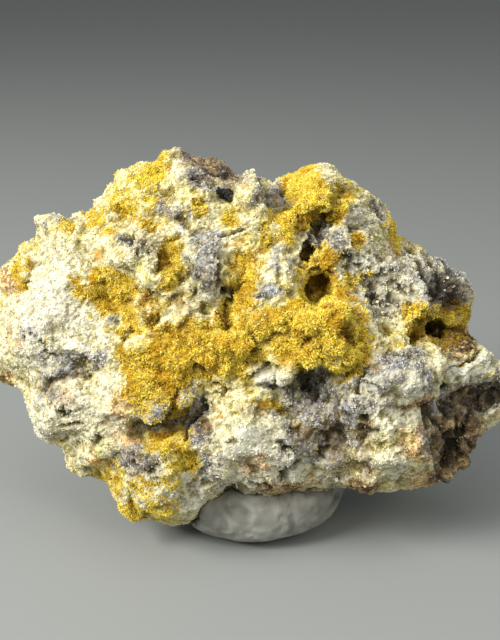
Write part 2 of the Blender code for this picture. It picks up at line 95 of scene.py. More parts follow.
# Small forms on the face, in millimetres across and up on its plane. Knobs and hollows have their middle,
# half width, half height, rise or depth and, where they lie askew, their turn in degrees. Ridges and cracks
# have their half width, strength and points.
KNOBS = [
    (-18.2, 26.9, 0.9, 0.7, 0.3), (-8.5, 22.3, 0.5, 0.4, 0.4), (-11.1, 16.3, 0.9, 0.6, 0.4),
    (-4.6, 20.6, 1.1, 0.9, 0.5), (-2.3, 16.3, 0.5, 0.4, 0.3), (10.0, 6.6, 1.4, 1.2, 0.4),
    (12.0, 14.0, 1.2, 1.1, 0.4), (1.7, 6.9, 0.6, 0.5, 0.3), (2.1, 5.9, 0.7, 0.5, 0.3),
    (8.0, 5.2, 1.4, 0.8, 0.3), (12.6, 5.2, 1.2, 0.6, 0.25), (5.4, 16.6, 0.9, 0.8, 0.4),
    (0.2, 18.8, 1.1, 0.9, 0.3), (2.6, 19.2, 1.2, 0.8, 0.3), (5.6, 19.0, 1.1, 0.8, 0.3),
    (-3.4, 17.2, 1.3, 0.9, 0.35, 20), (-10.4, 13.4, 1.2, 1.0, 0.3), (-7.6, 15.4, 1.2, 0.9, 0.3),
    (-12.5, 20.8, 1.1, 0.7, 0.25), (-14.8, 21.3, 0.9, 0.7, 0.25), (7.8, 28.8, 0.8, 0.6, 0.35),
    (2.4, 24.2, 0.5, 0.5, 0.3), (-1.3, 25.2, 0.7, 1.0, 0.3), (-1.5, 29.6, 0.8, 1.2, 0.5),
    (-16.2, 18.6, 1.3, 1.1, 0.3), (-5.2, 29.2, 0.5, 0.7, 0.3), (-5.9, 26.5, 0.6, 0.4, 0.3),
    (-3.2, 31.4, 0.8, 0.5, 0.1), (-16.0, 27.4, 0.6, 0.4, 0.4), (4.2, 28.6, 0.6, 0.5, 0.3),
    (2.9, 17.9, 0.8, 0.7, 0.3), (1.0, 16.6, 0.8, 0.7, 0.25), (-1.9, 20.2, 0.8, 1.0, 0.3),
    (17.9, 15.4, 0.7, 0.5, 0.3), (-6.4, 11.0, 0.5, 0.4, 0.3), (-9.0, 12.4, 0.9, 0.7, 0.3, 30),
    (-16.0, 12.0, 0.8, 0.6, 0.3), (-18.6, 9.4, 0.8, 0.6, 0.3), (-19.6, 12.0, 0.8, 0.8, 0.3),
    (-13.4, 13.8, 0.9, 0.7, 0.3), (0.3, 14.0, 1.4, 0.8, 0.8, 10), (6.6, 15.0, 1.5, 1.0, 0.5),
    (11.7, 12.9, 1.3, 1.2, 0.5), (5.9, 21.2, 0.8, 1.2, 0.5), (1.7, 14.6, 0.9, 0.6, 0.5),
    (8.3, 13.6, 1.7, 0.9, 0.7), (6.4, 13.3, 1.4, 0.8, 0.4), (-8.4, 11.1, 2.0, 0.7, 0.45, 25),
    (15.4, 9.0, 1.1, 1.3, 0.4, 15), (-2.0, 22.8, 1.0, 1.2, 0.5), (1.1, 29.2, 1.0, 1.0, 0.6),
    (-3.3, 21.3, 0.8, 1.0, 0.5), (-3.7, 20.5, 0.8, 1.1, 0.7), (1.6, 14.2, 0.8, 0.7, 0.4),
    (13.9, 17.9, 0.5, 0.5, 0.5), (15.1, 18.4, 0.8, 0.5, 0.7), (15.0, 17.4, 0.9, 0.4, 0.6),
    (12.0, 18.6, 0.4, 0.4, 0.3), (16.8, 9.4, 0.5, 1.6, 0.4, -14), (15.6, 6.8, 0.4, 1.2, 0.4, -10),
]
HOLLOWS = [
    (12.9, 17.8, 0.9, 0.8, 0.7, -20), (12.3, 17.2, 0.7, 0.5, 0.5), (15.4, 17.7, 1.5, 0.5, 0.15),
    (3.2, 23.9, 0.5, 0.7, 0.5, -20), (7.6, 8.4, 0.8, 1.0, 0.5), (-8.6, 23.2, 0.7, 1.2, 0.4, -20),
    (4.0, 26.4, 0.4, 0.8, 0.15), (5.7, 28.7, 0.7, 0.6, 0.4), (4.6, 27.4, 0.7, 0.4, 0.4),
    (-4.1, 22.8, 0.3, 0.9, 0.4), (-3.6, 18.6, 0.6, 0.9, 0.8), (5.4, 9.4, 0.9, 0.8, 0.2),
    (2.4, 9.6, 0.5, 0.4, 0.4), (4.2, 7.2, 0.5, 0.7, 0.4), (-7.0, 10.0, 1.4, 0.3, 0.2, 30),
    (10.0, 17.4, 0.6, 0.9, 0.3), (6.7, 17.5, 0.6, 0.9, 0.4), (7.2, 14.6, 1.3, 0.4, 0.4),
    (-9.8, 18.5, 0.7, 0.7, 0.6), (4.4, 20.2, 1.2, 0.5, 0.4), (3.4, 21.2, 0.5, 1.0, 0.3),
    (-4.6, 32.1, 1.3, 0.6, 0.6, -22), (9.0, 20.4, 0.9, 1.0, 0.3),
]
RIDGES = [
    (0.35, 1.0, (12.8, 16.8), (13.9, 15.9), (14.3, 14.9), (14.2, 13.5), (13.6, 12.3)),
    (0.45, 0.9, (-1.4, 30.6), (-1.5, 29.4), (-1.8, 28.6)),
    (0.45, 0.9, (-8.5, 20.8), (-7.4, 21.1), (-5.9, 21.6)),
    (0.5, 1.1, (-7.9, 18.3), (-7.0, 18.9), (-6.0, 19.6), (-6.6, 20.2)),
    (0.3, 0.7, (-12.0, 6.2), (-10.9, 5.8), (-10.0, 5.4), (-8.8, 6.0), (-7.6, 7.2)),
    (0.35, 0.8, (-10.5, 19.2), (-10.5, 18.2), (-9.8, 17.7), (-9.1, 17.9)),
    (0.3, 0.7, (-10.3, 19.5), (-9.2, 19.7)),
    (0.4, 0.9, (15.4, 14.0), (16.4, 14.4), (17.6, 15.3), (18.6, 15.3)),
    (0.4, 0.9, (16.0, 21.9), (16.4, 21.0), (16.8, 20.2)), (0.35, 0.8, (12.3, 24.6), (12.6, 23.2)),
    (0.35, 0.8, (13.3, 24.4), (13.7, 22.8)), (0.35, 0.8, (14.5, 23.2), (14.8, 22.2)),
    (0.4, 0.9, (-16.6, 24.6), (-15.9, 26.0), (-15.6, 26.8)),
    (0.4, 0.9, (-20.4, 25.0), (-20.2, 23.4), (-20.4, 22.2)),
    (0.4, 0.9, (-18.9, 26.6), (-18.9, 27.4), (-18.2, 27.7), (-17.2, 27.4)),
    (0.4, 0.8, (-8.6, 31.2), (-8.0, 32.4), (-7.3, 32.9)), (0.4, 0.8, (2.4, 12.4), (2.5, 13.6), (3.4, 14.9)),
    (0.3, 0.7, (-5.6, 4.0), (-5.8, 5.4)), (0.3, 0.7, (-6.6, 3.6), (-6.9, 5.0)),
]
# Cracks are grooves that are also painted dark with shade; some are the painted shadow under a ledge or along
# a shaded edge.
CRACKS = [
    (0.4, 0.6, (-18.4, 13.3), (-17.2, 13.9)), (0.3, 0.4, (-17.2, 13.9), (-15.0, 14.0)),
    (0.2, 0.6, (-17.2, 9.9), (-15.7, 9.9)), (0.2, 0.6, (-19.1, 16.9), (-18.4, 16.3)),
    (0.3, 0.8, (-12.2, 17.2), (-11.2, 17.8)), (0.3, 1.0, (-3.9, 25.6), (-2.9, 25.7), (-2.1, 26.1)),
    (0.35, 1.0, (-1.5, 17.6), (-1.0, 16.8), (-1.2, 15.8)),
    (0.3, 0.8, (9.0, 28.6), (9.3, 27.4), (9.5, 26.6)),
    (0.35, 1.3, (11.6, 25.0), (12.2, 23.8), (12.9, 22.8), (13.4, 21.8), (14.4, 20.6)),
    (0.3, 1.2, (13.3, 23.8), (14.0, 22.6), (14.8, 21.4), (15.8, 20.0)),
    (0.25, 1.0, (14.6, 23.3), (15.3, 22.2)), (0.3, 1.0, (15.3, 14.4), (16.4, 15.0), (17.5, 15.8)),
    (0.3, 0.7, (8.1, 14.2), (7.9, 13.0), (7.5, 12.4)), (0.2, 0.5, (8.0, 13.2), (9.6, 13.2)),
    (0.4, 1.0, (13.2, 11.6), (13.0, 10.6), (13.3, 9.8)),
    (0.35, 1.0, (13.4, 12.0), (13.9, 10.4), (14.9, 9.0), (15.2, 7.6), (14.8, 6.4)),
    (0.3, 0.9, (16.7, 11.0), (16.2, 9.6), (16.8, 8.0)), (0.3, 1.0, (15.7, 10.4), (15.4, 8.6), (15.9, 7.0)),
    (0.3, 0.8, (5.0, 8.0), (4.2, 6.9)), (0.3, 0.9, (2.6, 6.9), (1.6, 6.2), (1.0, 5.3)),
    (0.3, 0.8, (1.1, 8.4), (1.6, 7.7), (2.2, 7.6)), (0.2, 0.7, (-3.4, 8.2), (-2.8, 8.6)),
    (0.35, 1.0, (-7.3, 12.6), (-8.0, 11.6), (-8.6, 10.6)),
    (0.4, 1.0, (-5.3, 11.8), (-5.8, 10.7), (-6.8, 9.6), (-6.9, 8.8)),
    (0.3, 0.8, (-5.3, 31.0), (-3.3, 30.4)), (0.35, 1.0, (-1.0, 30.4), (-0.9, 29.4), (-0.9, 28.5)),
    (0.3, 0.8, (-4.3, 22.8), (-3.9, 21.4), (-3.7, 19.6)), (0.3, 0.8, (-9.0, 24.0), (-8.9, 23.0)),
    (0.3, 0.7, (-5.9, 22.2), (-6.1, 21.3), (-6.1, 20.7)),
    (0.3, 0.8, (0.1, 15.0), (-0.6, 14.3), (-1.0, 13.9)), (0.3, 0.9, (4.1, 22.6), (5.2, 22.4)),
    (0.15, 0.8, (-1.6, 4.9), (1.5, 4.6), (4.6, 4.6), (6.4, 4.3)),
]
# Pores and pockets, which are dented and also painted dark with shade, and then the areas that are riddled
# with fine ones: middle, half width, half height, strength and, where they lie askew, turn.
PORES = [
    (-11.7, 25.3, 0.5, 0.3, 1.0), (-10.2, 24.7, 0.5, 0.6, 0.9), (-20.1, 21.5, 0.2, 0.2, 1.0),
    (-20.4, 17.2, 0.2, 0.25, 1.0), (-18.2, 15.6, 0.4, 0.25, 0.7), (-17.0, 10.8, 0.3, 0.4, 1.0),
    (-14.2, 8.5, 0.5, 0.4, 0.8, 30), (-17.0, 8.6, 0.35, 0.2, 0.7), (-6.2, 30.5, 0.5, 0.3, 0.8, 20),
    (-8.4, 29.3, 0.4, 0.3, 0.6, 20), (-7.2, 27.3, 0.25, 0.35, 0.4), (-6.0, 28.4, 0.4, 0.2, 0.8),
    (-3.9, 12.7, 0.45, 0.3, 1.0), (0.4, 13.3, 0.3, 0.3, 0.8), (-5.9, 14.6, 0.3, 0.25, 1.0),
    (8.1, 9.5, 0.6, 0.6, 1.0, -20), (8.4, 7.7, 0.3, 0.25, 1.0), (-10.1, 5.9, 0.5, 0.3, 0.8),
    (7.7, 8.6, 0.3, 0.4, 1.0), (1.2, 7.8, 0.35, 0.2, 1.0), (2.0, 7.8, 0.3, 0.2, 0.9),
    (5.4, 8.7, 0.8, 1.0, 0.6), (5.6, 4.6, 0.5, 0.25, 0.8, -20), (3.6, 14.5, 1.2, 0.4, 0.5, 20),
    (2.6, 13.2, 0.5, 0.9, 0.5, -30), (4.0, 12.5, 0.6, 0.3, 0.6, 20), (14.7, 13.2, 0.5, 0.3, 0.9, 30),
    (14.8, 11.5, 0.5, 0.5, 0.9), (18.6, 12.2, 0.8, 0.6, 0.8, -30), (13.2, 10.9, 0.4, 0.6, 0.9),
    (14.9, 8.6, 0.3, 0.9, 0.9, 10), (14.6, 7.2, 0.3, 0.6, 0.9), (14.4, 5.3, 0.5, 0.2, 0.8, -20),
    (17.6, 9.6, 0.3, 0.5, 0.6, 20), (16.0, 9.2, 0.5, 0.15, 0.6, 10), (3.0, 24.5, 0.7, 0.3, 1.0, 35),
    (3.6, 23.4, 0.6, 0.3, 0.9, 20), (4.3, 22.5, 0.9, 0.3, 0.9, -10), (3.4, 21.0, 0.4, 0.9, 0.9),
    (13.2, 18.2, 0.4, 0.9, 0.8), (12.3, 17.1, 0.7, 0.35, 1.0), (13.6, 17.5, 0.7, 0.4, 0.8, 10),
    (4.5, 26.9, 0.4, 0.4, 0.7), (4.2, 25.4, 0.4, 0.3, 0.8), (4.9, 26.5, 0.4, 0.3, 0.6),
    (1.4, 7.7, 0.25, 0.25, 1.0), (6.6, 23.8, 0.35, 0.35, 1.0), (7.4, 24.0, 0.3, 0.3, 1.0),
    (6.9, 23.2, 0.6, 0.3, 0.8), (9.0, 20.0, 0.4, 0.5, 0.8), (10.3, 20.4, 0.3, 0.4, 0.8),
    (9.4, 19.2, 0.4, 0.4, 0.7), (8.4, 21.4, 0.3, 0.3, 0.7), (13.5, 21.5, 0.3, 0.6, 0.9),
    (15.2, 21.2, 0.8, 0.6, 0.8), (15.0, 22.3, 0.4, 0.4, 0.8), (4.2, 25.3, 0.35, 0.3, 1.0),
    (3.6, 25.0, 0.5, 0.4, 0.7), (5.8, 29.3, 0.6, 0.5, 0.6), (6.8, 17.5, 0.6, 0.9, 1.0, 20),
    (3.0, 16.7, 0.4, 0.3, 0.8), (4.2, 16.3, 0.4, 0.2, 0.6), (-0.9, 15.9, 0.3, 0.3, 0.8),
    (-9.8, 18.5, 0.5, 0.5, 0.5), (9.9, 25.9, 0.3, 0.4, 0.7), (8.7, 25.7, 0.25, 0.5, 0.6, -30),
    (14.2, 17.9, 1.0, 0.4, 0.3), (4.6, 14.2, 0.5, 0.5, 0.4), (15.8, 17.7, 1.0, 0.3, 0.6),
    (15.3, 20.0, 1.0, 0.8, 1.2), (14.4, 21.4, 0.9, 0.8, 1.2, 30), (3.2, 24.0, 0.5, 0.8, 0.9, -20),
    (-3.6, 18.6, 0.5, 0.9, 1.1, 10), (-8.7, 23.0, 0.5, 0.8, 0.5, -20), (13.7, 21.7, 0.4, 0.9, 0.9),
    (14.4, 20.2, 0.9, 0.4, 0.9), (4.2, 26.0, 0.3, 0.6, 0.6), (-4.0, 23.3, 0.3, 0.7, 0.8),
    (5.7, 28.8, 0.5, 0.4, 0.5), (4.6, 27.4, 0.6, 0.3, 0.6), (-18.0, 12.7, 0.8, 0.3, 0.4),
    (7.7, 8.4, 0.5, 0.8, 0.8), (7.0, 26.2, 0.4, 0.3, 0.5), (2.7, 26.3, 0.4, 0.2, 0.5),
]
POROUS = [
    (9.4, 21.2, 2.4, 2.4, 1.0), (7.0, 23.6, 1.6, 1.1, 1.0), (-0.2, 28.0, 1.2, 0.9, 0.7),
    (14.8, 21.6, 1.6, 1.4, 0.9), (-11.0, 24.6, 1.6, 1.4, 0.7), (4.4, 26.0, 1.0, 1.6, 0.8),
    (3.6, 12.6, 2.4, 1.8, 0.7), (-10.8, 6.8, 2.0, 1.0, 0.6),
]

# Where the minerals lie on the face, in patches: middle, half width, half height, strength and, where they
# lie askew, turn. After the minerals come the places where the crust is fine and even, stained lemon, worn
# smooth, and broken off down to bare rock.
PARSONSITE = [
    (3.6, 17.2, 5.0, 3.1, 1.3), (7.0, 16.6, 1.6, 2.4, 1.2), (-2.7, 16.2, 3.9, 2.2, 1.3, 8),
    (-1.6, 21.6, 1.6, 2.6, 1.2), (3.0, 19.6, 2.4, 1.2, 1.0), (-9.4, 14.4, 3.0, 3.2, 1.25, 20),
    (-6.0, 15.6, 3.0, 1.3, 1.2), (-13.6, 21.2, 2.7, 1.5, 1.1, -12), (-10.6, 18.6, 2.9, 1.9, 0.72, -10),
    (-6.6, 17.2, 2.1, 1.7, 1.2), (-3.7, 19.0, 0.9, 1.6, 1.3, 15), (-5.2, 18.1, 1.3, 0.8, 1.2, 10),
    (-8.2, 23.7, 1.0, 2.0, 1.3, -25), (-10.2, 26.5, 1.0, 0.6, 0.9), (-12.2, 27.9, 0.7, 0.9, 1.0),
    (-10.4, 29.6, 2.6, 2.3, 0.42, 20), (-9.2, 31.3, 1.5, 0.7, 1.1, 40), (-5.9, 27.8, 0.9, 0.9, 0.85),
    (-3.0, 27.2, 0.6, 0.7, 0.95), (-0.2, 25.3, 0.6, 1.4, 0.95), (3.4, 29.9, 2.8, 2.0, 1.3, 25),
    (5.2, 28.3, 2.0, 1.3, 1.2), (4.7, 23.6, 1.1, 1.2, 1.2),
    (4.4, 21.2, 1.9, 2.0, 1.2), (6.9, 21.8, 1.2, 1.1, 0.9, 20), (7.6, 25.0, 1.0, 0.6, 0.7, 20),
    (10.6, 25.9, 0.4, 1.9, 0.9, 12), (8.6, 22.3, 1.6, 0.5, 0.7, 15), (12.3, 19.4, 1.0, 1.2, 0.9),
    (12.7, 17.8, 1.0, 1.0, 1.2), (14.4, 18.6, 2.4, 1.2, 1.0, -5), (14.8, 16.8, 1.4, 0.6, 0.7),
    (16.5, 19.2, 0.6, 1.2, 0.9), (15.6, 15.8, 1.6, 1.3, 0.4), (10.8, 17.0, 0.9, 0.5, 0.55),
    (13.0, 24.8, 1.2, 0.5, 0.7), (0.0, 11.5, 1.4, 0.4, 0.8, -15), (-8.3, 8.5, 1.9, 0.9, 0.95, 12),
    (-7.0, 6.7, 0.9, 1.2, 1.0), (-13.2, 5.3, 1.4, 1.2, 0.58, -30), (-9.9, 4.5, 2.2, 0.9, 0.48, -5),
    (-11.5, 2.5, 1.1, 1.2, 0.9), (-9.0, 2.8, 1.4, 0.9, 0.6), (-20.4, 23.0, 0.8, 2.0, 0.62, -15),
    (-16.7, 26.4, 0.6, 0.5, 0.8), (-14.4, 26.8, 0.9, 1.4, 0.6), (-12.3, 24.2, 0.5, 0.5, 0.8),
    (-12.4, 28.6, 0.9, 1.2, 0.6), (-9.6, 27.0, 1.6, 1.2, 0.4), (6.6, 15.3, 1.2, 0.9, 1.1),
    (-3.0, 21.8, 0.7, 1.3, 1.0, 10), (-8.0, 22.2, 0.9, 1.1, 1.1, -20), (-13.4, 19.4, 1.1, 0.9, 0.8),
    (2.2, 27.2, 1.8, 0.8, 1.2), (-3.2, 22.4, 0.9, 1.4, 1.1, 10), 
    (-7.9, 5.2, 0.8, 0.8, 0.6), (1.6, 25.7, 0.5, 0.9, 0.7),
]
BARE_OF_PARSONSITE = [
    (-5.2, 20.4, 1.5, 1.3, 1.2), (-5.0, 23.4, 1.7, 3.0, 1.3, 12), (0.2, 22.5, 1.4, 1.9, 1.0),
    (-10.9, 16.7, 0.8, 0.6, 0.9), (-8.6, 18.9, 1.0, 0.4, 0.7, 30), (-12.9, 18.4, 0.5, 0.6, 1.3),
    (-10.5, 24.0, 1.6, 2.0, 1.0, 15), (5.1, 30.9, 1.1, 1.0, 1.1), (9.4, 21.4, 1.6, 1.4, 0.5),
    (0.2, 20.6, 1.5, 0.6, 1.3), (0.6, 29.2, 1.3, 0.8, 1.2, -40), (0.5, 14.3, 1.6, 1.0, 1.2),
    (12.3, 21.4, 0.9, 0.8, 0.9), (7.2, 27.0, 0.8, 1.2, 0.9), (-7.2, 29.8, 1.2, 0.9, 0.8),
    (-14.0, 29.0, 0.7, 0.7, 0.8), (-12.3, 13.6, 0.6, 0.9, 0.7), (5.4, 24.7, 0.5, 0.4, 0.7),
    (-14.5, 24.6, 1.2, 1.2, 0.8), (-6.7, 31.5, 1.5, 1.7, 1.2), (0.2, 23.6, 1.0, 1.2, 0.8),
    (11.3, 21.2, 0.9, 0.8, 0.9), (9.1, 15.6, 0.7, 1.4, 1.0), (16.0, 21.6, 1.1, 0.7, 1.0, -50),
    (13.6, 15.8, 0.8, 0.5, 0.9, -35), (15.8, 15.6, 1.2, 0.4, 0.6, 30), (3.6, 13.3, 1.6, 1.3, 1.2),
    (0.1, 16.0, 0.5, 1.1, 0.7, 10), (-15.7, 22.5, 1.1, 0.9, 0.5), (-12.8, 14.2, 0.7, 0.9, 0.5),
    (9.7, 18.6, 1.1, 1.8, 0.9), (-6.9, 17.6, 0.5, 0.5, 0.6),
]
GALENA = [
    (-12.9, 18.4, 0.4, 0.5, 0.9), (0.3, 13.9, 1.2, 0.8, 0.5), (-18.3, 12.6, 1.2, 0.8, 0.7),
    (4.4, 8.4, 3.0, 2.2, 0.75), (0.2, 24.0, 0.9, 0.8, 0.4), (7.4, 8.4, 0.8, 1.0, 0.8),
    (-15.6, 15.1, 3.0, 1.4, 0.7, 5), (-16.6, 14.3, 2.4, 0.5, 1.1, 12), (-8.2, 11.1, 3.3, 1.3, 1.15, 18),
    (-10.8, 6.7, 2.3, 1.1, 1.15, -10), (-4.7, 6.2, 1.3, 1.3, 0.7, -35), (3.6, 12.9, 2.2, 1.6, 1.2),
    (8.2, 13.4, 3.0, 1.6, 0.6, 4), (7.6, 11.5, 3.2, 0.5, 0.85, 4), (10.4, 15.5, 2.2, 1.0, 0.9, 10),
    (5.6, 10.4, 2.6, 1.5, 0.95), (2.4, 8.6, 1.6, 1.8, 0.8), (9.8, 14.6, 1.4, 1.4, 0.8),
    (12.6, 15.2, 0.7, 1.4, 1.2), (11.0, 15.4, 2.2, 0.9, 1.2), (13.1, 13.6, 0.4, 0.9, 1.0),
    (-5.4, 24.4, 1.5, 1.9, 0.9, 10), (-5.3, 22.4, 1.1, 1.2, 1.4), (-0.2, 21.0, 1.5, 0.55, 1.5, 8),
    (0.6, 23.0, 0.5, 0.5, 0.9), (1.8, 23.3, 0.5, 0.4, 0.9), (-7.6, 27.8, 1.6, 1.0, 0.85, -30),
    (-4.8, 31.4, 3.2, 1.0, 0.95, -22), (-5.8, 30.4, 1.4, 0.9, 0.85, -30), (8.3, 6.6, 0.8, 0.9, 0.5),
    (5.6, 25.2, 1.0, 1.2, 0.8), (-6.0, 9.4, 1.2, 1.2, 0.9), (3.4, 11.0, 2.4, 1.0, 1.0),
    (-13.8, 15.6, 0.8, 1.6, 0.5), (-17.0, 11.6, 2.0, 0.8, 0.45), (-1.3, 29.5, 0.9, 1.4, 0.9),
    (0.8, 29.0, 1.2, 0.8, 1.1, -40), (0.2, 28.7, 0.7, 0.9, 0.9, -20), (-3.6, 29.3, 0.7, 0.7, 0.9),
    (4.0, 26.0, 1.2, 1.4, 1.15), (7.4, 26.6, 1.5, 1.6, 0.55, -35), (9.4, 28.2, 0.8, 1.2, 0.7, 35),
    (9.2, 21.0, 2.2, 2.4, 0.5), (11.0, 23.0, 1.6, 1.4, 0.6), (14.4, 22.6, 2.6, 2.2, 1.15, 35),
    (14.9, 20.3, 2.0, 1.2, 1.0, -20), (16.8, 12.0, 2.9, 1.4, 1.2, 10), (19.4, 12.6, 1.6, 1.6, 1.0),
    (13.4, 8.8, 0.9, 1.6, 0.8), (-20.4, 17.6, 1.2, 0.5, 0.6, -30), (-17.6, 26.7, 1.1, 0.8, 0.7),
    (-11.9, 25.2, 0.9, 0.4, 0.8, -15), (14.6, 6.0, 1.2, 1.4, 0.7), (5.5, 9.0, 1.4, 2.2, 1.15),
]
RUST = [
    (11.2, 8.9, 0.4, 1.4, 0.8), (-1.2, 10.2, 1.0, 0.5, 0.4), (15.6, 8.2, 2.6, 2.6, 1.0, 20),
    (12.6, 8.6, 0.8, 1.4, 0.9), (12.6, 12.0, 1.3, 0.7, 1.0, 10), (12.2, 7.6, 0.9, 0.8, 0.8),
    (8.0, 5.0, 1.4, 0.8, 0.8), (2.6, 9.4, 1.0, 1.0, 0.6), (-0.9, 6.6, 1.5, 1.1, 0.8),
    (-12.6, 11.2, 1.3, 1.3, 0.8), (-21.6, 21.7, 1.3, 1.2, 1.0), (-20.9, 16.8, 0.7, 0.5, 0.8),
    (-18.2, 12.2, 0.7, 0.5, 0.8), (-21.8, 13.8, 1.2, 0.8, 0.8), (10.6, 24.2, 0.6, 1.8, 0.75, 15),
    (-12.3, 8.8, 1.4, 0.7, 0.6), (-7.0, 20.0, 1.2, 0.8, 0.55), (13.0, 5.2, 1.6, 0.8, 0.9),
    (-4.6, 31.4, 2.8, 0.9, 0.5, -22), (-17.0, 12.0, 1.8, 0.9, 0.6), (19.6, 11.2, 1.2, 0.8, 0.8, 20),
    (2.9, 9.4, 0.5, 0.9, 0.9), (2.4, 9.7, 0.4, 0.4, 1.0), (6.4, 9.9, 0.4, 0.3, 0.8),
    (15.2, 10.4, 0.9, 0.8, 1.0), (16.5, 8.8, 0.7, 2.2, 0.9, -14), (-16.8, 12.4, 0.5, 0.5, 0.9),
    (-17.4, 9.4, 2.0, 1.3, 0.5), (1.6, 4.6, 4.0, 0.6, 0.8),
]
# Brown is iron stain, and painted shade in the caves, pits and under the ledges.
BROWN_STAIN_AND_SHADE = [
    (15.6, 8.4, 2.4, 3.4, 1.1, 15), (17.0, 12.1, 2.4, 1.3, 0.9, 10), (5.5, 9.6, 1.4, 1.6, 0.75),
    (-7.8, 10.4, 3.2, 0.8, 0.7, 20), (13.3, 10.6, 0.6, 1.4, 0.9), (14.2, 17.6, 2.2, 0.8, 0.8),
    (15.8, 16.8, 1.8, 1.5, 1.1), (14.6, 16.7, 1.2, 0.7, 0.9), (-17.0, 11.8, 1.8, 1.0, 0.5),
    (16.7, 19.0, 0.5, 1.2, 0.6), (0.9, 28.9, 1.2, 0.7, 0.7, -40), (8.1, 9.6, 0.8, 1.1, 0.8),
    (-16.4, 13.8, 2.0, 0.4, 0.7, 12), (-5.6, 10.0, 0.9, 1.6, 0.75, 20), (6.8, 17.4, 0.7, 1.2, 0.7, 15),
    (14.8, 21.0, 1.6, 1.2, 1.1), (4.1, 26.4, 0.6, 1.2, 0.3), (3.2, 8.0, 2.0, 1.6, 0.5),
    (0.6, 4.3, 2.4, 0.5, 0.5), (5.7, 7.6, 1.1, 2.2, 0.65), (2.6, 8.8, 1.6, 1.2, 0.6),
    (6.6, 6.8, 0.8, 0.9, 0.7), (7.4, 8.2, 0.7, 1.0, 0.9), (8.0, 4.9, 1.4, 0.8, 1.1),
    (15.2, 5.8, 2.2, 1.2, 1.0), (-4.9, 18.1, 0.8, 0.5, 0.5), (2.0, 4.4, 5.0, 0.5, 0.7),
    (-4.8, 31.4, 3.2, 1.2, 1.0, -24), (-7.2, 19.6, 2.4, 2.2, 0.5), (-9.4, 24.9, 2.4, 1.4, 0.6),
    (7.2, 9.0, 1.3, 1.2, 0.6), (-18.4, 13.0, 2.4, 1.1, 0.5), (-10.7, 7.4, 2.2, 1.1, 0.6, -10),
    (8.3, 6.4, 0.9, 1.0, 0.75), (-0.9, 11.3, 2.3, 1.1, 0.55), (3.4, 11.0, 1.6, 0.8, 0.5),
    (-5.3, 22.2, 0.8, 0.8, 0.6),
]
QUARTZ = [
    (-1.4, 8.3, 2.6, 1.8, 1.0), (-1.5, 29.6, 0.9, 1.3, 0.4), (1.9, 6.4, 1.0, 1.0, 1.0),
    (-4.5, 25.0, 1.0, 1.0, 1.2), (0.2, 23.8, 1.0, 1.0, 0.5), (10.2, 6.8, 1.6, 1.2, 0.9),
    (0.6, 13.8, 1.7, 1.0, 1.0), (11.4, 22.9, 0.5, 0.6, 1.0), (-14.0, 17.4, 0.8, 0.7, 0.8),
    (-17.5, 18.5, 4.0, 3.4, 0.7), (-18.0, 10.8, 2.6, 2.4, 0.6), (-7.4, 31.0, 0.7, 1.0, 0.4),
    (-7.6, 26.4, 1.2, 0.8, 0.8), (12.8, 8.4, 0.6, 0.5, 0.9), (-6.4, 4.6, 1.6, 1.6, 0.8),
    (-17.0, 24.0, 1.4, 2.4, 0.6, -30), (8.4, 13.5, 2.8, 1.5, 0.8), (-15.6, 15.3, 2.8, 1.3, 0.9, 5),
    (8.2, 22.4, 2.6, 2.4, 1.0), (1.7, 6.7, 1.4, 1.6, 0.9), (-15.0, 11.0, 5.0, 4.0, 0.6),
    (-9.0, 5.0, 5.0, 2.6, 0.5), (0.0, 7.0, 8.0, 4.0, 0.7), (10.0, 12.0, 6.0, 4.0, 0.7),
    (12.0, 22.0, 4.0, 4.0, 0.6), (-18.0, 18.0, 4.0, 6.0, 0.8), (8.0, 26.5, 2.4, 2.4, 0.6),
    (17.0, 14.5, 2.6, 0.9, 1.0, 15), (12.0, 13.6, 1.0, 1.2, 0.9), (16.0, 21.8, 1.2, 0.5, 1.0, -50),
    (12.0, 21.8, 1.2, 0.7, 1.0), (16.6, 8.6, 0.4, 1.6, 0.9, -14), (15.3, 10.2, 0.9, 0.3, 0.9, 25),
    (18.4, 11.6, 0.9, 0.3, 1.0, -20), (15.0, 12.4, 0.7, 0.3, 0.9, 20), (-7.0, 4.0, 2.0, 1.3, 1.0),
    (-19.0, 9.2, 1.4, 1.0, 1.0),
]
FINE_CRUST = [
    (-17.6, 20.6, 4.2, 6.0, 1.0, -20), (-18.2, 11.0, 3.0, 3.0, 0.8), (-13.0, 10.0, 3.0, 3.0, 0.6),
]
LEMON_CRUST = [
    (-10.8, 29.6, 2.8, 2.4, 1.0, 20), (-12.6, 26.6, 1.6, 0.9, 0.6), (-6.4, 29.4, 1.6, 1.0, 0.5),
    (-2.6, 28.0, 2.2, 1.4, 0.6), (-15.0, 27.0, 1.6, 1.2, 0.3), (-16.4, 25.4, 1.2, 1.6, 0.5),
    (-2.8, 13.4, 2.4, 1.2, 0.6), (-20.6, 23.6, 0.9, 2.0, 0.6, -15), (-8.0, 27.4, 2.0, 1.4, 0.6),
    (9.6, 8.0, 1.8, 2.4, 0.45), (1.6, 21.0, 1.8, 1.4, 0.6), (-8.4, 6.6, 2.6, 1.2, 0.5),
]
SMOOTH = [
    (-4.4, 31.3, 2.8, 0.9, 1.0, -22), (1.8, 29.7, 2.4, 1.2, 1.0, 25), (8.8, 14.0, 2.0, 1.3, 0.8),
    (6.0, 7.3, 1.0, 1.1, 0.8), (-1.2, 8.6, 2.0, 1.3, 0.7, 10), (-18.0, 26.8, 0.8, 0.6, 0.8),
    (0.6, 13.8, 1.4, 0.9, 0.7), (12.6, 5.1, 1.1, 0.5, 0.8), (8.0, 5.1, 1.2, 0.7, 0.8),
    (-15.6, 25.6, 0.5, 1.1, 0.8), (0.8, 29.0, 1.2, 0.8, 1.0, -40), (0.5, 23.9, 0.8, 0.8, 0.6),
    (4.9, 31.1, 1.2, 0.8, 0.5), (3.0, 4.3, 4.4, 0.5, 1.0), (2.0, 8.8, 1.0, 0.5, 0.9),
]
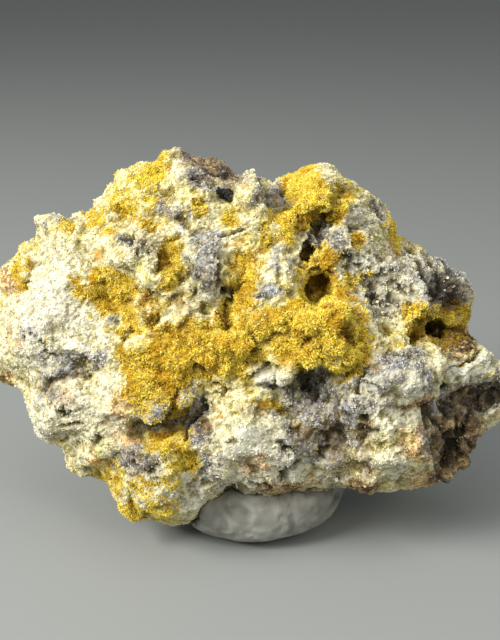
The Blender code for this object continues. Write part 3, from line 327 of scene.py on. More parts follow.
BARE_ROCK = [
    (15.8, 8.2, 2.4, 3.6, 1.1, 12), (3.5, 13.4, 1.5, 1.2, 0.8), (5.4, 8.6, 1.2, 1.8, 0.5),
    (3.0, 4.3, 4.4, 0.5, 1.0), (13.2, 5.0, 1.8, 0.7, 1.0), (2.0, 8.8, 1.0, 0.5, 1.0),
    (8.2, 5.0, 1.2, 0.8, 0.8), (-3.0, 31.2, 2.2, 0.8, 0.9, -22), (-18.0, 26.8, 0.8, 0.6, 0.6),
    (17.2, 12.0, 2.6, 1.2, 0.8, 10), (0.9, 13.9, 1.2, 0.9, 0.6), (14.6, 22.2, 0.6, 2.0, 0.5, 30),
]

# On the sides and the back each mineral lies in patches of noise: strength, width of a patch in millimetres,
# seed, octaves and the level that the noise swings about.
PARSONSITE_BEHIND = (0.62, 7.0, 71.0, 2, 0.15)
GALENA_BEHIND = (0.85, 5.5, 97.0, 3, 0.38)
RUST_BEHIND = (0.9, 4.5, 131.0, 3, 0.2)
BROWN_BEHIND = (0.9, 5.0, 171.0, 3, 0.1)
QUARTZ_BEHIND = (0.6, 4.0, 151.0, 2, 0.2)


def placed(name, data):
    """A new object in the scene with this mesh, lamp or camera."""
    made = bpy.data.objects.new(name, data)
    bpy.context.scene.collection.objects.link(made)
    return made


def piece_of(name, bm):
    """A new piece with the mesh that a bmesh holds."""
    mesh = bpy.data.meshes.new(name)
    bm.to_mesh(mesh)
    bm.free()
    return placed(name, mesh)


def merged_copy(node, name):
    """A new piece with a solid's mesh, in which the loose triangles share their corners."""
    bm = bmesh.new()
    bm.from_mesh(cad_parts[node].data)
    bmesh.ops.remove_doubles(bm, verts=bm.verts, dist=0.001 * MM)
    piece = piece_of(name, bm)
    piece.data.materials.clear()
    return piece


def even_mesh(piece, step):
    """Gives the piece small even faces, a step of so many millimetres wide."""
    remesh = piece.modifiers.new("even", "REMESH")
    remesh.mode = "VOXEL"
    remesh.voxel_size = step * MM
    graph = bpy.context.evaluated_depsgraph_get()
    mesh = bpy.data.meshes.new_from_object(piece.evaluated_get(graph))
    piece.modifiers.clear()
    piece.data = mesh


def read_vertices(mesh, kind):
    """What the mesh keeps for each vertex: co, its place in metres, or normal, the way that it faces."""
    vectors = np.empty(len(mesh.vertices) * 3)
    mesh.vertices.foreach_get(kind, vectors)
    return vectors.reshape(-1, 3)


def write_places(mesh, places):
    """Moves the vertices to places in millimetres."""
    mesh.vertices.foreach_set("co", (places * MM).ravel())
    mesh.update()


def relaxed(mesh, values, rounds):
    """The values after each vertex has moved half way to the mean of its neighbours, so many times."""
    edges = np.empty(len(mesh.edges) * 2, int)
    mesh.edges.foreach_get("vertices", edges)
    start, end = edges.reshape(-1, 2).T
    count = np.bincount(start, minlength=len(values)) + np.bincount(end, minlength=len(values))
    columns = values.reshape(len(values), -1).astype(float)
    for _ in range(rounds):
        total = np.empty_like(columns)
        for column in range(columns.shape[1]):
            total[:, column] = np.bincount(start, columns[end, column], len(values))
            total[:, column] += np.bincount(end, columns[start, column], len(values))
        columns = 0.5 * columns + 0.5 * total / count[:, None]
    return columns.reshape(values.shape)


def ramp(values, low, high):
    """0 up to low, 1 from high on, and an even slope with soft ends between them."""
    share = np.clip((values - low) / (high - low), 0, 1)
    return share * share * (3 - 2 * share)


def wander(places, size, seed, octaves=3):
    """Uneven noise about 0, mostly within 1, with swells as wide as size in millimetres."""
    spots = (places / size + seed).tolist()
    return np.array([noise.fractal(spot, 1.0, 2.0, octaves) for spot in spots])


def cobbles(places, size, seed):
    """0 in the creases between packed lumps of this size, and about 1 on them, some higher than others."""
    heights = []
    for spot in (places / size + seed).tolist():
        gaps, middles = noise.voronoi(spot)
        crease = min((gaps[1] - gaps[0]) / 0.5, 1.0)
        heights.append(crease * (2 - crease) * (0.7 + 0.6 * noise.cell(middles[0] * 7.0)))
    return np.array(heights)


def facets(places, size, seed, tilt):
    """Heights about 0 of a surface that is broken into blocks, each with its own height and tilt."""
    heights = []
    for spot in (places / size + seed).tolist():
        gaps, middles = noise.voronoi(spot)
        levels = []
        for middle in middles[:2]:
            slope = noise.cell_vector(middle * 7.0) - Vector((0.5, 0.5, 0.5))
            levels.append(0.5 * noise.cell(middle * 5.0) + 2 * tilt * slope.dot(Vector(spot) - middle))
        own_share = 0.5 + 0.5 * min((gaps[1] - gaps[0]) / 0.22, 1.0)
        heights.append(own_share * levels[0] + (1 - own_share) * levels[1])
    return np.array(heights)


def on_face(places):
    """Where each place shows on the leaning face plane, and how far it lies behind that plane."""
    y = places[:, 1] - PLANE_Y
    z = places[:, 2] - PLANE_Z
    depth = y * math.cos(LEAN) - z * math.sin(LEAN)
    height = y * math.sin(LEAN) + z * math.cos(LEAN)
    share = 1 + depth / EYE_DISTANCE
    return EYE_X + (places[:, 0] - PLANE_X - EYE_X) / share, EYE_Z + (height - EYE_Z) / share, depth


def strayed(spots, reach, size, seeds, octaves=3):
    """Places on the face with noise added, so that the edges of what is drawn there wander."""
    return [spot + reach * wander(places, size, seed, octaves) for spot, seed in zip(spots, seeds)]


def turned(spots, middle_x, middle_z, turn=0):
    """Places on the face seen from a point, along and across a direction turned by so many degrees."""
    x, z = spots[0] - middle_x, spots[1] - middle_z
    cosine = math.cos(math.radians(turn))
    sine = math.sin(math.radians(turn))
    return x * cosine + z * sine, z * cosine - x * sine


def patch_field(patches, spots):
    """A patch's strength near its middle, half of it at the patch's edge, and 0 half as far out again."""
    field = np.zeros(len(spots[0]))
    for middle_x, middle_z, half_width, half_height, strength, *turn in patches:
        along, over = turned(spots, middle_x, middle_z, *turn)
        reach = np.hypot(along / half_width, over / half_height)
        field = np.maximum(field, strength * np.clip(1.5 - reach, 0, 1))
    return field


def stroke_field(strokes, spots):
    """The sum of the strokes, each a round-topped rise or pit of its own height in millimetres."""
    field = np.zeros(len(spots[0]))
    for middle_x, middle_z, half_width, half_height, height, *turn in strokes:
        along, over = turned(spots, middle_x, middle_z, *turn)
        field += height * ramp(1.4 - np.hypot(along / half_width, over / half_height), 0, 0.9)
    return field


def line_field(lines, spots):
    """1 on the lines and 0 from their half width on, times their strength."""
    x, z = spots
    field = np.zeros(len(x))
    for half_width, strength, *points in lines:
        for (x0, z0), (x1, z1) in zip(points, points[1:]):
            along = ((x - x0) * (x1 - x0) + (z - z0) * (z1 - z0)) / ((x1 - x0) ** 2 + (z1 - z0) ** 2)
            along = np.clip(along, 0, 1)
            gap = np.hypot(x - x0 - along * (x1 - x0), z - z0 - along * (z1 - z0))
            field = np.maximum(field, strength * ramp(half_width - gap, 0, 0.8 * half_width))
    return field


stone = merged_copy("matrix", "stone")
even_mesh(stone, STONE_MESH_STEP)
places = relaxed(stone.data, read_vertices(stone.data, "co") / MM, FACET_SMOOTHING)
write_places(stone.data, places)
across, up, behind = on_face(places)

# Marks that change the shape lie where the surface faces the eye, which is its front. Colours reach a little
# further round, over all that is shown. Both fade out behind the face.
towards_eye = np.array((0, -math.cos(LEAN), math.sin(LEAN)))
facing = read_vertices(stone.data, "normal") @ towards_eye
near_face = 1 - ramp(behind, *FACE_DEPTH)
front = ramp(facing, -0.05, 0.30) * near_face
shown = ramp(facing, -0.45, -0.05) * near_face
near = strayed((across, up), DRIFT, DRIFT_SIZE, (11.0, 17.0))
ragged = strayed(near, RAGGEDNESS, RAGGED_SIZE, (23.0, 29.0), 2)
warped = places + WARP * np.stack([wander(places, WARP_SIZE, 40.0 + seed) for seed in range(3)], axis=1)

cracks = line_field(CRACKS, near) * front
ridges = np.minimum(line_field(RIDGES, near), 1) * front
pores = patch_field(PORES, ragged) * front
porous = patch_field(POROUS, near) * front
holes = ramp(cobbles(places, LACE_SIZE, 6.6), 0.45, 0.95) * np.minimum(porous, 1)
smooth = np.minimum(patch_field(SMOOTH, near), 1) * front
fine = np.minimum(patch_field(FINE_CRUST, near), 1) * front
bare = ramp(patch_field(BARE_ROCK, near), 0.3, 0.8) * front
velvet = np.clip(patch_field(PARSONSITE, near), 0, 1) * front
velvet *= 1 - np.clip(patch_field(BARE_OF_PARSONSITE, near), 0, 1)

rise = BLOCK_RISE * facets(warped, BLOCK_SIZE, 3.1, 0.7) * (1 - 0.8 * fine)
rise += CHUNK_RISE * facets(warped, CHUNK_SIZE, 8.4, 0.9) * (1 - 0.5 * velvet) * (1 - 0.4 * fine)
rise += CLUMP_RISE * (cobbles(warped, CLUMP_SIZE, 1.7) - 0.6) * velvet
rise += GRAIN_RISE * (cobbles(places, GRAIN_SIZE, 5.7) - 0.6)
rise += SWELL_RISE * wander(places, SWELL_SIZE, 2.2, 4) * (1 - 0.4 * fine)
rise -= CRUMB_PIT * ramp(wander(places, CRUMB_SIZE, 77.0, 2), 0.22, 0.55) * (1 - velvet) * (1 - 0.5 * fine)
rise += BREAK_RISE * facets(warped, BREAK_SIZE, 12.3, 1.0) * bare
rise += SPLINTER_RISE * facets(warped, SPLINTER_SIZE, 15.6, 0.8) * bare
rise *= 1 - 0.8 * smooth
rise += LACE_DEPTH * (0.35 * porous - holes)
rise += stroke_field(KNOBS, near) * front
rise -= stroke_field(HOLLOWS, ragged) * front
rise += RIDGE_RISE * ridges
rise -= CRACK_DEPTH * cracks + PORE_DEPTH * pores
places = places + read_vertices(stone.data, "normal") * rise[:, None]
write_places(stone.data, places)

# How deep each place lies in the hollows and in the small pits between the crumbs.
normals = read_vertices(stone.data, "normal")
cavity = ((relaxed(stone.data, places, HOLLOW_ROUNDS) - places) * normals).sum(1)
pits = ((relaxed(stone.data, places, PIT_ROUNDS) - places) * normals).sum(1)

speckle = wander(places, SPECKLE_SIZE, 31.0, 3)
fine_speckle = wander(places, FINE_SPECKLE_SIZE, 37.0, 2)
fleck = wander(places, FLECK_SIZE, 47.0, 2)
seen = strayed(near, COLOUR_DRIFT, COLOUR_DRIFT_SIZE, (57.0, 63.0))


def both_sides(on_the_face, behind_it):
    """A mineral's field: as listed where the photograph shows the stone, and patches of noise elsewhere."""
    strength, size, seed, octaves, level = behind_it
    elsewhere = strength * wander(places, size, seed, octaves) + level
    return on_the_face * shown + elsewhere * (1 - shown)


yellow = patch_field(PARSONSITE, seen) - patch_field(BARE_OF_PARSONSITE, seen)
yellow = both_sides(yellow, PARSONSITE_BEHIND)
yellow -= 0.7 * ramp(-normals[:, 2], 0.1, 0.6) * (1 - shown)
speckles = 0.65 * speckle + 0.35 * fine_speckle + 0.4 * np.clip(cavity, -0.4, 0.4) + 0.12 * fleck
yellow += speckles * np.clip(0.65 + yellow, 0.65, 1.0)
galena = both_sides(patch_field(GALENA, seen), GALENA_BEHIND) - 0.7 * speckle + 0.2 * fleck
rust = both_sides(patch_field(RUST, seen), RUST_BEHIND) + 0.25 * fleck
quartz_patches = patch_field(QUARTZ, seen)
white = both_sides(quartz_patches, QUARTZ_BEHIND)
# The brown field is iron stain, with painted shade laid in caves, pits and under ledges.
brown_and_shade_share = ramp(both_sides(patch_field(BROWN_STAIN_AND_SHADE, seen) + 0.3 * speckle, BROWN_BEHIND), 0.25, 0.95)
brown_and_shade_share *= 1 - 0.6 * ramp(quartz_patches - 0.7, 0, 0.3) * shown

parsonsite_share = ramp(yellow, 0.24, 0.76) * (1 - 0.6 * ridges)
galena_share = ramp(galena, 0.28, 0.85) * (1 - parsonsite_share) * (1 - ridges)
rust_share = ramp(rust, 0.30, 0.90) * (1 - parsonsite_share)
white_share = ramp(white, 0.2, 0.9) * (1 - parsonsite_share)
yellow_near = ramp(relaxed(stone.data, parsonsite_share, 40), 0.10, 0.75) * (1 - 0.8 * white_share)
lemon = ramp(patch_field(LEMON_CRUST, seen), 0.1, 0.9) * shown
yellow_near = np.maximum(yellow_near, lemon)
# Painted shade for the cracks, pores and lace holes: how dark they are painted.
painted_pore_shade = np.clip(cracks + pores + 0.9 * holes, 0, 1)


def store(mesh, name, values):
    """Keeps one number a vertex with the mesh, for its material to read."""
    layer = mesh.attributes.new(name, "FLOAT", "POINT")
    layer.data.foreach_set("value", values.astype(np.float32))


plane_shade = 0.55 + 0.9 * facets(warped, BREAK_SIZE, 12.3, 0.3)
plane_shade += 0.8 * facets(warped, SPLINTER_SIZE, 15.6, 0.3)
stone_fields = {
    "parsonsite": parsonsite_share,
    "yellow_near": yellow_near,
    "galena": galena_share,
    "rust": rust_share,
    "white": white_share,
    "brown_and_shade": brown_and_shade_share,
    # Painted shade: how dark the hollows and pits are painted.
    "hollow_shade": np.clip(ramp(pits, -0.02, 0.10) * 0.6 + ramp(cavity, 0.0, 0.4) * 0.5, 0, 1),
    # Painted shade in the cracks, pores and lace holes.
    "pore_shade": painted_pore_shade,
    "bare": bare,
    "lemon": lemon,
    "lace": np.minimum(porous, 1),
    "plane": np.clip(plane_shade, 0, 1),
}
for name, values in stone_fields.items():
    store(stone.data, name, values)


def colour(code):
    """The linear colour of an sRGB hex value."""
    parts = [int(code[index:index + 2], 16) / 255 for index in (0, 2, 4)]
    return [part / 12.92 if part <= 0.04045 else ((part + 0.055) / 1.055) ** 2.4 for part in parts] + [1.0]


def fill_inputs(node, **inputs):
    """Sets or links a node's inputs by their names, with _ for a space, or by an i and their numbers.

    An input takes a value, another node's output or the name of a field that the mesh keeps.
    """
    tree = node.id_data
    for name, value in inputs.items():
        socket = node.inputs[int(name[1:])] if name[1:].isdigit() else node.inputs[name.replace("_", " ")]
        if isinstance(value, str):
            value = add_node(tree, "Attribute", {"attribute_name": value}, "Fac")
        if isinstance(value, bpy.types.NodeSocket):
            tree.links.new(value, socket)
        else:
            socket.default_value = value


def add_node(tree, kind, settings=None, out=0, stops=(), **inputs):
    """Adds a node with its settings, inputs and stops of place and hex colour, and gives one output."""
    new = tree.nodes.new("ShaderNode" + kind)
    for name, value in (settings or {}).items():
        setattr(new, name, value)
    for _ in stops[2:]:
        new.color_ramp.elements.new(0.5)
    for index, (place, code) in enumerate(stops):
        new.color_ramp.elements[index].position = place
        new.color_ramp.elements[index].color = colour(code)
    fill_inputs(new, **inputs)
    return new.outputs[out]


def laid_over(tree, under, *coats):
    """A colour with layers laid over it in turn, such as stains and painted shade, each by a share of one of
    the fields that the mesh keeps.
    """
    for field, strength, coat in coats:
        share = add_node(tree, "Math", {"operation": "MULTIPLY"}, i0=field, i1=strength)
        coat = colour(coat) if isinstance(coat, str) else coat
        under = add_node(tree, "Mix", {"data_type": "RGBA"}, 2, i0=share, i6=under, i7=coat)
    return under


def tinted(tree, under, value, *stops):
    """A colour multiplied by a tint that follows a value through stops."""
    tint = add_node(tree, "ValToRGB", stops=stops, Fac=value)
    settings = {"data_type": "RGBA", "blend_type": "MULTIPLY"}
    return add_node(tree, "Mix", settings, 2, i0=1.0, i6=under, i7=tint)


def new_surface(name, **inputs):
    """A new material with a Principled surface that has these inputs."""
    made = bpy.data.materials.new(name)
    made.use_nodes = True
    shader = made.node_tree.nodes["Principled BSDF"]
    fill_inputs(shader, **inputs)
    return made, made.node_tree, shader


def crust_colour(tree, shade):
    """Cream crust that turns lemon near the yellow crystals, white on quartz and brown with iron stain and
    painted shade.
    """
    spot = add_node(tree, "TexCoord", out="Object")
    mottle = add_node(tree, "TexNoise", Vector=spot, Scale=1 / (1.3 * MM), Detail=3.0)
    blush = add_node(tree, "TexNoise", Vector=spot, Scale=1 / (2.6 * MM), Detail=4.0)
    cream_stops = (0.0, "a09871"), (0.3, "cac39c"), (0.65, "ded8b5"), (1.0, "e8e3c6")
    mottle_tints = (0.36, "f0edb8"), (0.46, "fffef4"), (0.58, "fdfdfb"), (0.66, "e2e3e0")
    crust = add_node(tree, "ValToRGB", stops=cream_stops, Fac=shade)
    crust = tinted(tree, crust, mottle, *mottle_tints)
    crust = tinted(tree, crust, blush, (0.30, "f3c9a4"), (0.38, "ffffff"))
    layers = {
        "white": (1.0, (0.0, "aeab95"), (0.4, "cac8b5"), (1.0, "e0decc")),
        "yellow_near": (0.48, (0.0, "ab9846"), (0.5, "d8c874"), (1.0, "eae090")),
        "rust": (0.75, (0.0, "6b4a26"), (0.4, "b08548"), (0.75, "dcb274"), (1.0, "e8d4aa")),
        "brown_and_shade": (1.0, (0.0, "22190e"), (0.5, "665234"), (1.0, "baa070")),
    }
    for field, (strength, *stops) in layers.items():
        layer = add_node(tree, "ValToRGB", stops=stops, Fac=shade)
        crust = laid_over(tree, crust, (field, strength, layer))
    return crust


# Crusted stone: the bed under the grains. It is matte, mottled and a shade darker than they are, with painted
# shade that darkens it in its hollows and pits and in its cracks and pores. Galena and quartz make it dull to
# bluish grey, and under the yellow crystals it is amber, partly their own deep colour and partly painted
# shade in the gaps between them.
crusted_stone, tree, shader = new_surface("crusted_stone", Roughness=0.9, IOR=1.4)
spot = add_node(tree, "TexCoord", out="Object")
swell = add_node(tree, "TexNoise", Vector=spot, Scale=1 / (1.9 * MM), Detail=5.0)
grit = add_node(tree, "TexNoise", Vector=spot, Scale=1 / (0.34 * MM), Detail=3.0)
grain_colour = add_node(tree, "TexVoronoi", out="Color", Vector=spot, Scale=1 / (0.30 * MM))
grain_shade = add_node(tree, "SeparateColor", out="Red", Color=grain_colour)
bed_shade = add_node(tree, "Mix", i0="bare", i2=grain_shade, i3="plane")
crust = crust_colour(tree, bed_shade)

grey_stops = (0.30, "3a3832"), (0.45, "6d6a60"), (0.56, "938f83"), (0.70, "bfbbad")
bluish_stops = (0.30, "4b4d50"), (0.46, "7c7f83"), (0.60, "a5a9ab"), (0.74, "ced1cf")
film_stops = (0.1, "1a130b"), (0.35, "3e301c"), (0.6, "7e663e"), (0.9, "c6ae80")
grey = add_node(tree, "ValToRGB", stops=grey_stops, Fac=grit)
bluish = add_node(tree, "ValToRGB", stops=bluish_stops, Fac=grit)
bluish_share = add_node(tree, "ValToRGB", stops=((0.52, "000000"), (0.66, "ffffff")), Fac=swell)
film = add_node(tree, "ValToRGB", stops=film_stops, Fac="plane")
# Under the yellow crystals the bed is amber: partly their own deep colour, partly painted shade in the gaps
# between them.
amber_and_gap_shade = add_node(tree, "ValToRGB", stops=((0.3, "6c4601"), (0.5, "a07806"), (0.7, "ccaa1c")), Fac=grit)
grey = add_node(tree, "Mix", {"data_type": "RGBA"}, 2, i0=bluish_share, i6=grey, i7=bluish)
grey = laid_over(tree, grey, ("brown_and_shade", 0.85, film))
# The painted shade in cracks and pores: near black, and dark amber near the yellow crystals.
pocket_shade = laid_over(tree, colour("2e2a21"), ("yellow_near", 1.0, "6b4508"))
surface = laid_over(tree, crust, ("galena", 1.0, grey), ("parsonsite", 1.0, amber_and_gap_shade))
# Painted shade: the bed is darker the deeper it lies in a hollow or pit.
surface = tinted(tree, surface, "hollow_shade", (0.0, "ffffff"), (0.5, "cfc8ac"), (1.0, "8f8660"))
# Painted shade turns the cracks, pores and lace holes dark.
surface = laid_over(tree, surface, ("lace", 0.4, "6b665a"), ("pore_shade", 0.85, pocket_shade))
bump = add_node(tree, "Bump", out="Normal", Strength=0.6, Distance=0.08 * MM, Height=grit)
fill_inputs(shader, Base_Color=surface, Normal=bump)
stone.data.materials.append(crusted_stone)
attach(stone, "root")
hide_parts("matrix")

# The parsonsite crystals
# Thousands of yellow blades a few tenths of a millimetre long, which stand on the amber bed like velvet. The
# larger ones are flattened double pyramids, the small ones spikes, and their lower ends are sunk in the bed.
BLADES = 15500
BLADE_HALF_SIZES = (0.050, 0.036, 0.14)
SPIKES_A_PIECE = 38000
SPIKE_HALF_SIZES = (0.052, 0.052, 0.10)
# The other templates are three-sided: radius below, radius above and height, for half sizes of about 1.
THREE_SIDED = {"spike": (1.0, 0.0, 2.0), "chip": (1.2, 0.0, 1.7), "prism": (1.0, 0.9, 1.6)}


def crystal_template(kind):
    """The corners and triangles of one small crystal, with half sizes of about 1 along each axis."""
    bm = bmesh.new()
    if kind == "blade":
        bmesh.ops.create_uvsphere(bm, u_segments=4, v_segments=2, radius=1.0)
    else:
        below, above, height = THREE_SIDED[kind]
        bmesh.ops.create_cone(bm, cap_ends=True, segments=3, radius1=below, radius2=above, depth=height)
    bmesh.ops.remove_doubles(bm, verts=bm.verts, dist=0.001)
    bmesh.ops.triangulate(bm, faces=bm.faces)
    corners = np.array([vert.co for vert in bm.verts])
    triangles = np.array([[vert.index for vert in face.verts] for face in bm.faces])
    bm.free()
    return corners, triangles


# What sowing needs to know of the stone: its smoothed normals, its triangles and their areas.
smooth_normals = relaxed(stone.data, normals, 3)
stone.data.calc_loop_triangles()
triangles = np.empty(len(stone.data.loop_triangles) * 3, int)
stone.data.loop_triangles.foreach_get("vertices", triangles)
triangles = triangles.reshape(-1, 3)
first_corner, second_corner, third_corner = (places[triangles[:, index]] for index in range(3))
areas = np.linalg.norm(np.cross(second_corner - first_corner, third_corner - first_corner), axis=1) / 2


def scatter(name, kind, count, weights, half_sizes, lean, sink, seed):
    """One joined mesh of small crystals, sown on the stone by weights that are given for its vertices."""
    rng = np.random.default_rng(seed)
    chance = areas * weights[triangles].mean(1)
    chosen = triangles[rng.choice(len(triangles), count, p=chance / chance.sum())]
    split = np.sort(rng.random((count, 2)), axis=1)
    shares = np.stack([split[:, 0], split[:, 1] - split[:, 0], 1 - split[:, 1]], axis=1)
    roots = (shares[:, :, None] * places[chosen]).sum(1)
    up_axis = (shares[:, :, None] * smooth_normals[chosen]).sum(1) + rng.normal(0, lean, (count, 3))
    up_axis /= np.linalg.norm(up_axis, axis=1)[:, None]
    side = np.cross(up_axis, rng.normal(size=(count, 3)))
    side /= np.linalg.norm(side, axis=1)[:, None]
    other = np.cross(up_axis, side)
    sizes = np.array(half_sizes) * rng.uniform(0.6, 1.35, (count, 1)) * rng.uniform(0.85, 1.15, (count, 3))
    corners, faces = crystal_template(kind)
    made = roots[:, None] + up_axis[:, None] * (sizes[:, None, 2:3] * sink)
    for axis, direction in enumerate((side, other, up_axis)):
        made = made + corners[None, :, axis:axis + 1] * sizes[:, None, axis:axis + 1] * direction[:, None]
    first = np.arange(count)[:, None, None] * len(corners)
    mesh = bpy.data.meshes.new(name)
    mesh.from_pydata((made.reshape(-1, 3) * MM).tolist(), [], (faces[None] + first).reshape(-1, 3).tolist())
    store(mesh, "shade", np.repeat(rng.random(count), len(corners)))
    for field, values in stone_fields.items():
        store(mesh, field, np.repeat((shares * values[chosen]).sum(1), len(corners)))
    return placed(name, mesh)


# Parsonsite: glassy to greasy crystals, honey yellow where they are thick and lemon at their tips. At this
# scale a blade is a spark or a shadow, so each has its own shade, and those deep in a hollow are painted an
# amber shade.
parsonsite, tree, shader = new_surface("parsonsite_crystal", Roughness=0.7, IOR=1.45)
spot = add_node(tree, "TexCoord", out="Object")
growth = add_node(tree, "TexNoise", Vector=spot, Scale=1 / (1.6 * MM), Detail=4.0)
bright_stops = (0.0, "d0b72e"), (0.4, "e3d043"), (0.8, "ecdc5c"), (1.0, "f4e89c")
bright = add_node(tree, "ValToRGB", stops=bright_stops, Fac="shade")
bright = tinted(tree, bright, growth, (0.36, "dcc368"), (0.47, "faf3d8"), (0.56, "ffffff"), (0.66, "fffff4"))
shaded_amber = add_node(tree, "ValToRGB", stops=((0.0, "875c04"), (0.5, "ad850f"), (1.0, "ceac26")), Fac="shade")
# Painted shade: amber in hollows and dark in cracks and pores. The brown is stain, and painted shade in
# places.
body = laid_over(tree, bright, ("hollow_shade", 0.75, shaded_amber), ("lemon", 0.7, "ead94e"), ("pore_shade", 0.85, "6a480c"),
               ("brown_and_shade", 0.8, "7a5c12"))
fill_inputs(shader, Base_Color=body)

seen_share = 0.35 + 0.65 * shown
yellow_weights = parsonsite_share * (1 - 0.65 * painted_pore_shade) * (1 - 0.9 * bare) * seen_share
crystals = [scatter("parsonsite_blades", "blade", BLADES, yellow_weights, BLADE_HALF_SIZES,
                    lean=0.5, sink=0.4, seed=101)]
for number in (1, 2):
    name = f"parsonsite_spikes_{number}"
    crystals.append(scatter(name, "spike", SPIKES_A_PIECE, yellow_weights, SPIKE_HALF_SIZES,
                            lean=0.6, sink=0.7, seed=101 + number))
for piece in crystals:
    piece.data.materials.append(parsonsite)
    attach(piece, "root")

# The pyromorphite grains
# Stubby pale prisms of pyromorphite that make up the cream crust, packed every way round over the stone and
# thinner on its back. A few are greenish, and those near the parsonsite are stained yellow by it.
CRUST_CHIPS = 47000
CHIP_HALF_SIZES = (0.080, 0.080, 0.065)
CRUST_PRISMS = 10000
PRISM_HALF_SIZES = (0.085, 0.085, 0.11)

pyromorphite, tree, shader = new_surface("pyromorphite_grain", Roughness=0.8, IOR=1.4)
body = laid_over(tree, crust_colour(tree, "shade"), ("galena", 0.5, "aca8a8"), ("lace", 0.6, "dcd8c8"))
# Painted shade: the grains are darker the deeper they sit in a hollow.
body = tinted(tree, body, "hollow_shade", (0.0, "ffffff"), (0.5, "e3dec8"), (1.0, "b3aa86"))
fill_inputs(shader, Base_Color=body)

crust_share = (1 - 0.92 * parsonsite_share) * (1 - 0.8 * galena_share) * seen_share
crust_share *= (1 - 0.9 * painted_pore_shade) * (1 - 0.7 * bare)
chips = scatter("pyromorphite_chips", "chip", CRUST_CHIPS, crust_share, CHIP_HALF_SIZES,
                lean=1.6, sink=0.0, seed=211)
prisms = scatter("pyromorphite_prisms", "prism", CRUST_PRISMS, crust_share, PRISM_HALF_SIZES,
                 lean=1.6, sink=0.0, seed=212)
for piece in (chips, prisms):
    piece.data.materials.append(pyromorphite)
    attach(piece, "root")

# The matrix grains
# Grains of grey quartz and dark galena that stand out where the crust is thin, some of them bright on a
# cleaved face and some nearly black.
GRAINS_OF_MATRIX = 21000
MATRIX_HALF_SIZES = (0.075, 0.075, 0.075)

quartz, tree, shader = new_surface("quartz_and_galena_grain", Roughness=0.65, IOR=1.45)
grey_stops = (0.0, "484745"), (0.25, "807d7f"), (0.55, "a9a6a7"), (0.8, "c0bcba"), (1.0, "dad6ce")
body = add_node(tree, "ValToRGB", stops=grey_stops, Fac="shade")
# Painted shade: the grains darken the deeper they sit in a hollow, and go near black in cracks and pores.
body = tinted(tree, body, "hollow_shade", (0.0, "ffffff"), (0.5, "cfc8b4"), (1.0, "7c735a"))
body = laid_over(tree, body, ("rust", 0.5, "8a6a42"), ("brown_and_shade", 0.7, "5c4a33"), ("pore_shade", 0.85, "2b2c2d"))
fill_inputs(shader, Base_Color=body)

grain_share = np.maximum(galena_share, 0.6 * bare) * seen_share
grain_share *= (1 - 0.7 * painted_pore_shade) * (1 - 0.6 * smooth)
matrix_grains = scatter("matrix_grains", "chip", GRAINS_OF_MATRIX, grain_share, MATRIX_HALF_SIZES,
                        lean=1.6, sink=0.0, seed=307)
matrix_grains.data.materials.append(quartz)
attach(matrix_grains, "root")

# The dark crystals
# A knot of black, sharply faceted sulphide crystals that sits on the crust below the top edge, with a smaller
# one beside it. They have grown together, every way round, and their faces flash.
DARK_KNOTS = [(-3.45, 28.95, 0.48, 56), (-4.3, 29.35, 0.18, 9)]
DARK_CRYSTAL_SIZE = 0.27


def spot_on_face(x, z):
    """The front place of the stone that shows at x and z of the face plane, and the way it faces."""
    gap = np.hypot(across - x, up - z) + 9.0 * (front < 0.5)
    nearest = int(np.argmin(gap))
    return Vector(places[nearest]), Vector(smooth_normals[nearest]).normalized()


def add_crystal(bm, place, half_sizes, turn):
    """Adds one box-shaped crystal with its middle at a place in millimetres."""
    shape = Matrix.Diagonal(Vector(half_sizes) * 2 * MM).to_4x4()
    bmesh.ops.create_cube(bm, size=1.0, matrix=Matrix.Translation(place * MM) @ turn @ shape)


rng = np.random.default_rng(401)
bm = bmesh.new()
for x, z, reach, count in DARK_KNOTS:
    middle, outward = spot_on_face(x, z)
    for _ in range(count):
        offset = Vector(rng.normal(size=3)).normalized() * reach * rng.uniform(0.2, 1.0) ** 0.5
        half = DARK_CRYSTAL_SIZE / 2 * rng.uniform(0.6, 1.2)
        half_sizes = (half, half, half * rng.uniform(0.8, 1.3))
        turn = Matrix.Rotation(rng.uniform(0, 2 * math.pi), 4, Vector(rng.normal(size=3)).normalized())
        add_crystal(bm, middle + outward * 0.5 * reach + offset, half_sizes, turn)
dark_crystals = piece_of("dark_crystals", bm)

# Sphalerite: a black zinc sulphide whose cleaved faces have nearly the lustre of metal, so they go from black
# to a white flash as they turn to the lamp.
sphalerite = new_surface("black_sphalerite", Base_Color=colour("0e0e10"), Roughness=0.22, IOR=1.7)[0]
dark_crystals.data.materials.append(sphalerite)
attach(dark_crystals, "root")

# The white crystals
# One clear white crystal low on the right of the face, and a pale splinter that hangs from the lower edge.
WHITE_CRYSTALS = [(5.6, 5.3, 0.12, 0.15, 0.12), (-2.6, 4.9, 0.07, 0.35, 0.15)]

rng = np.random.default_rng(409)
bm = bmesh.new()
for x, z, half_width, half_height, out in WHITE_CRYSTALS:
    middle, outward = spot_on_face(x, z)
    turn = Matrix.Rotation(-LEAN, 4, "X") @ Matrix.Rotation(rng.uniform(-0.5, 0.5), 4, "Y")
    add_crystal(bm, middle + outward * out, (half_width, half_width, half_height), turn)
white_crystals = piece_of("white_crystals", bm)

# Cerussite: clear to white lead carbonate with a bright, glassy lustre on its flat faces.
cerussite = new_surface("white_cerussite", Base_Color=colour("ece9df"), Roughness=0.22, IOR=1.8)[0]
white_crystals.data.materials.append(cerussite)
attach(white_crystals, "root")

# The putty pad
# A pinch of grey mounting putty, kneaded and pressed under the stone. It is matte, holds the creases that
# kneading left in it, and closes up to the stone all round.
PUTTY_MESH_STEP = 0.30
PRESSED_UP = 0.45
CREASE_DEPTH = 0.16
WRINKLE_DEPTH = 0.06
DENT_RISE = 0.12

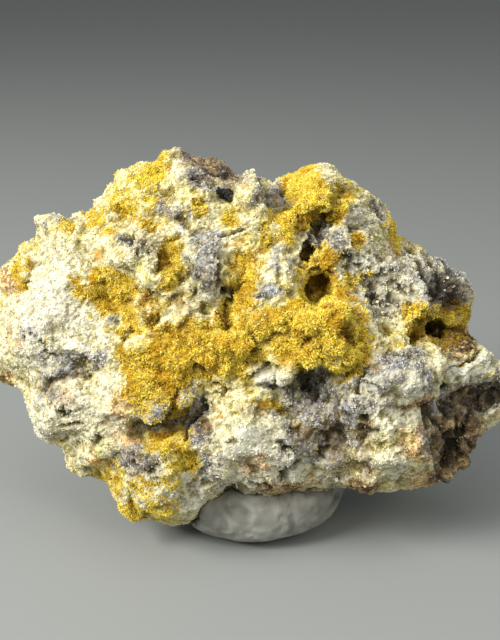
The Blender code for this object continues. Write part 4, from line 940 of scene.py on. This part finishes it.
putty = merged_copy("putty", "putty_pad")
even_mesh(putty, PUTTY_MESH_STEP)
pad_places = relaxed(putty.data, read_vertices(putty.data, "co") / MM, 2)
write_places(putty.data, pad_places)
creases = wander(pad_places * (1.0, 1.0, 0.55), 1.5, 5.0, 4)
wrinkles = wander(pad_places * (0.7, 1.0, 1.2), 0.8, 15.0, 3)
pad_rise = DENT_RISE * wander(pad_places, 3.0, 9.0, 2)
pad_rise -= CREASE_DEPTH * ramp(0.16 - np.abs(creases), 0.0, 0.16)
pad_rise -= WRINKLE_DEPTH * ramp(0.2 - np.abs(wrinkles), 0.0, 0.2)
pad_rise *= ramp(pad_places[:, 2], 0.1, 0.6)
pad_places = pad_places + read_vertices(putty.data, "normal") * pad_rise[:, None]
pad_places[:, 2] = np.maximum(pad_places[:, 2], 0.0)
pad_places[:, 2] += PRESSED_UP * ramp(pad_places[:, 2], 1.5, 3.5)
write_places(putty.data, pad_places)

# Mounting putty: a filled rubber, matte with a faint grease sheen, and a little darker in its creases.
grey_putty, tree, shader = new_surface("mounting_putty", Roughness=0.62)
spot = add_node(tree, "TexCoord", out="Object")
smear = add_node(tree, "TexNoise", Vector=spot, Scale=1 / (2.2 * MM), Detail=6.0, Distortion=1.2)
skin = add_node(tree, "TexNoise", Vector=spot, Scale=1 / (0.35 * MM), Detail=4.0)
kneaded = add_node(tree, "ValToRGB", stops=((0.3, "6c6c64"), (0.5, "8b8b83"), (0.7, "a8a8a0")), Fac=smear)
bump = add_node(tree, "Bump", out="Normal", Strength=0.4, Distance=0.05 * MM, Height=skin)
fill_inputs(shader, Base_Color=kneaded, Normal=bump)
putty.data.materials.append(grey_putty)
for face in putty.data.polygons:
    face.use_smooth = True
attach(putty, "root")
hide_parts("putty")

# The stage
# A plain pale floor under an even pale sky, with three soft lamps: the key high on the left as in the
# photograph, a weak fill on the right and a broad weak one above. The camera stands where the photograph was
# taken from, level with the middle of the stone and a little above it.
bpy.ops.mesh.primitive_plane_add(size=6)
floor = bpy.context.object
floor.name = "floor"
pale_floor = new_surface("pale_floor", Base_Color=colour("888c8b"), Roughness=0.7)[0]
floor.data.materials.append(pale_floor)


def add_lamp(name, place, size, power, tint):
    """A square soft lamp at a place in millimetres, turned towards the middle of the stone."""
    data = bpy.data.lights.new(name, "AREA")
    data.size = size * MM
    data.energy = power
    data.color = colour(tint)[:3]
    lamp = placed(name, data)
    lamp.location = Vector(place) * MM
    lamp.rotation_euler = (lamp.location - Vector((0, 0, 17)) * MM).to_track_quat("Z", "Y").to_euler()


add_lamp("key", (-205, -145, 215), 130, 1.70, "fffbf4")
add_lamp("fill", (130, -220, 190), 70, 0.22, "fdf6ea")
add_lamp("top", (20, -130, 290), 240, 0.36, "f6f8fa")

world = bpy.data.worlds.new("studio")
world.use_nodes = True
world.node_tree.nodes["Background"].inputs["Color"].default_value = colour("ced1d0")
world.node_tree.nodes["Background"].inputs["Strength"].default_value = 0.43
scene = bpy.context.scene
scene.world = world
scene.view_settings.view_transform = "Standard"

EYE_TO_PLANE = 88.9
camera_data = bpy.data.cameras.new("camera")
camera_data.lens = 60
camera_data.sensor_width = 36
camera_data.clip_start = 0.005
camera = placed("camera", camera_data)
camera.location = Vector((
    PLANE_X + EYE_X,
    PLANE_Y + EYE_Z * math.sin(LEAN) - EYE_TO_PLANE * math.cos(LEAN),
    PLANE_Z + EYE_Z * math.cos(LEAN) + EYE_TO_PLANE * math.sin(LEAN),
)) * MM
camera.rotation_euler = (math.pi / 2 - LEAN, 0, 0)
scene.camera = camera
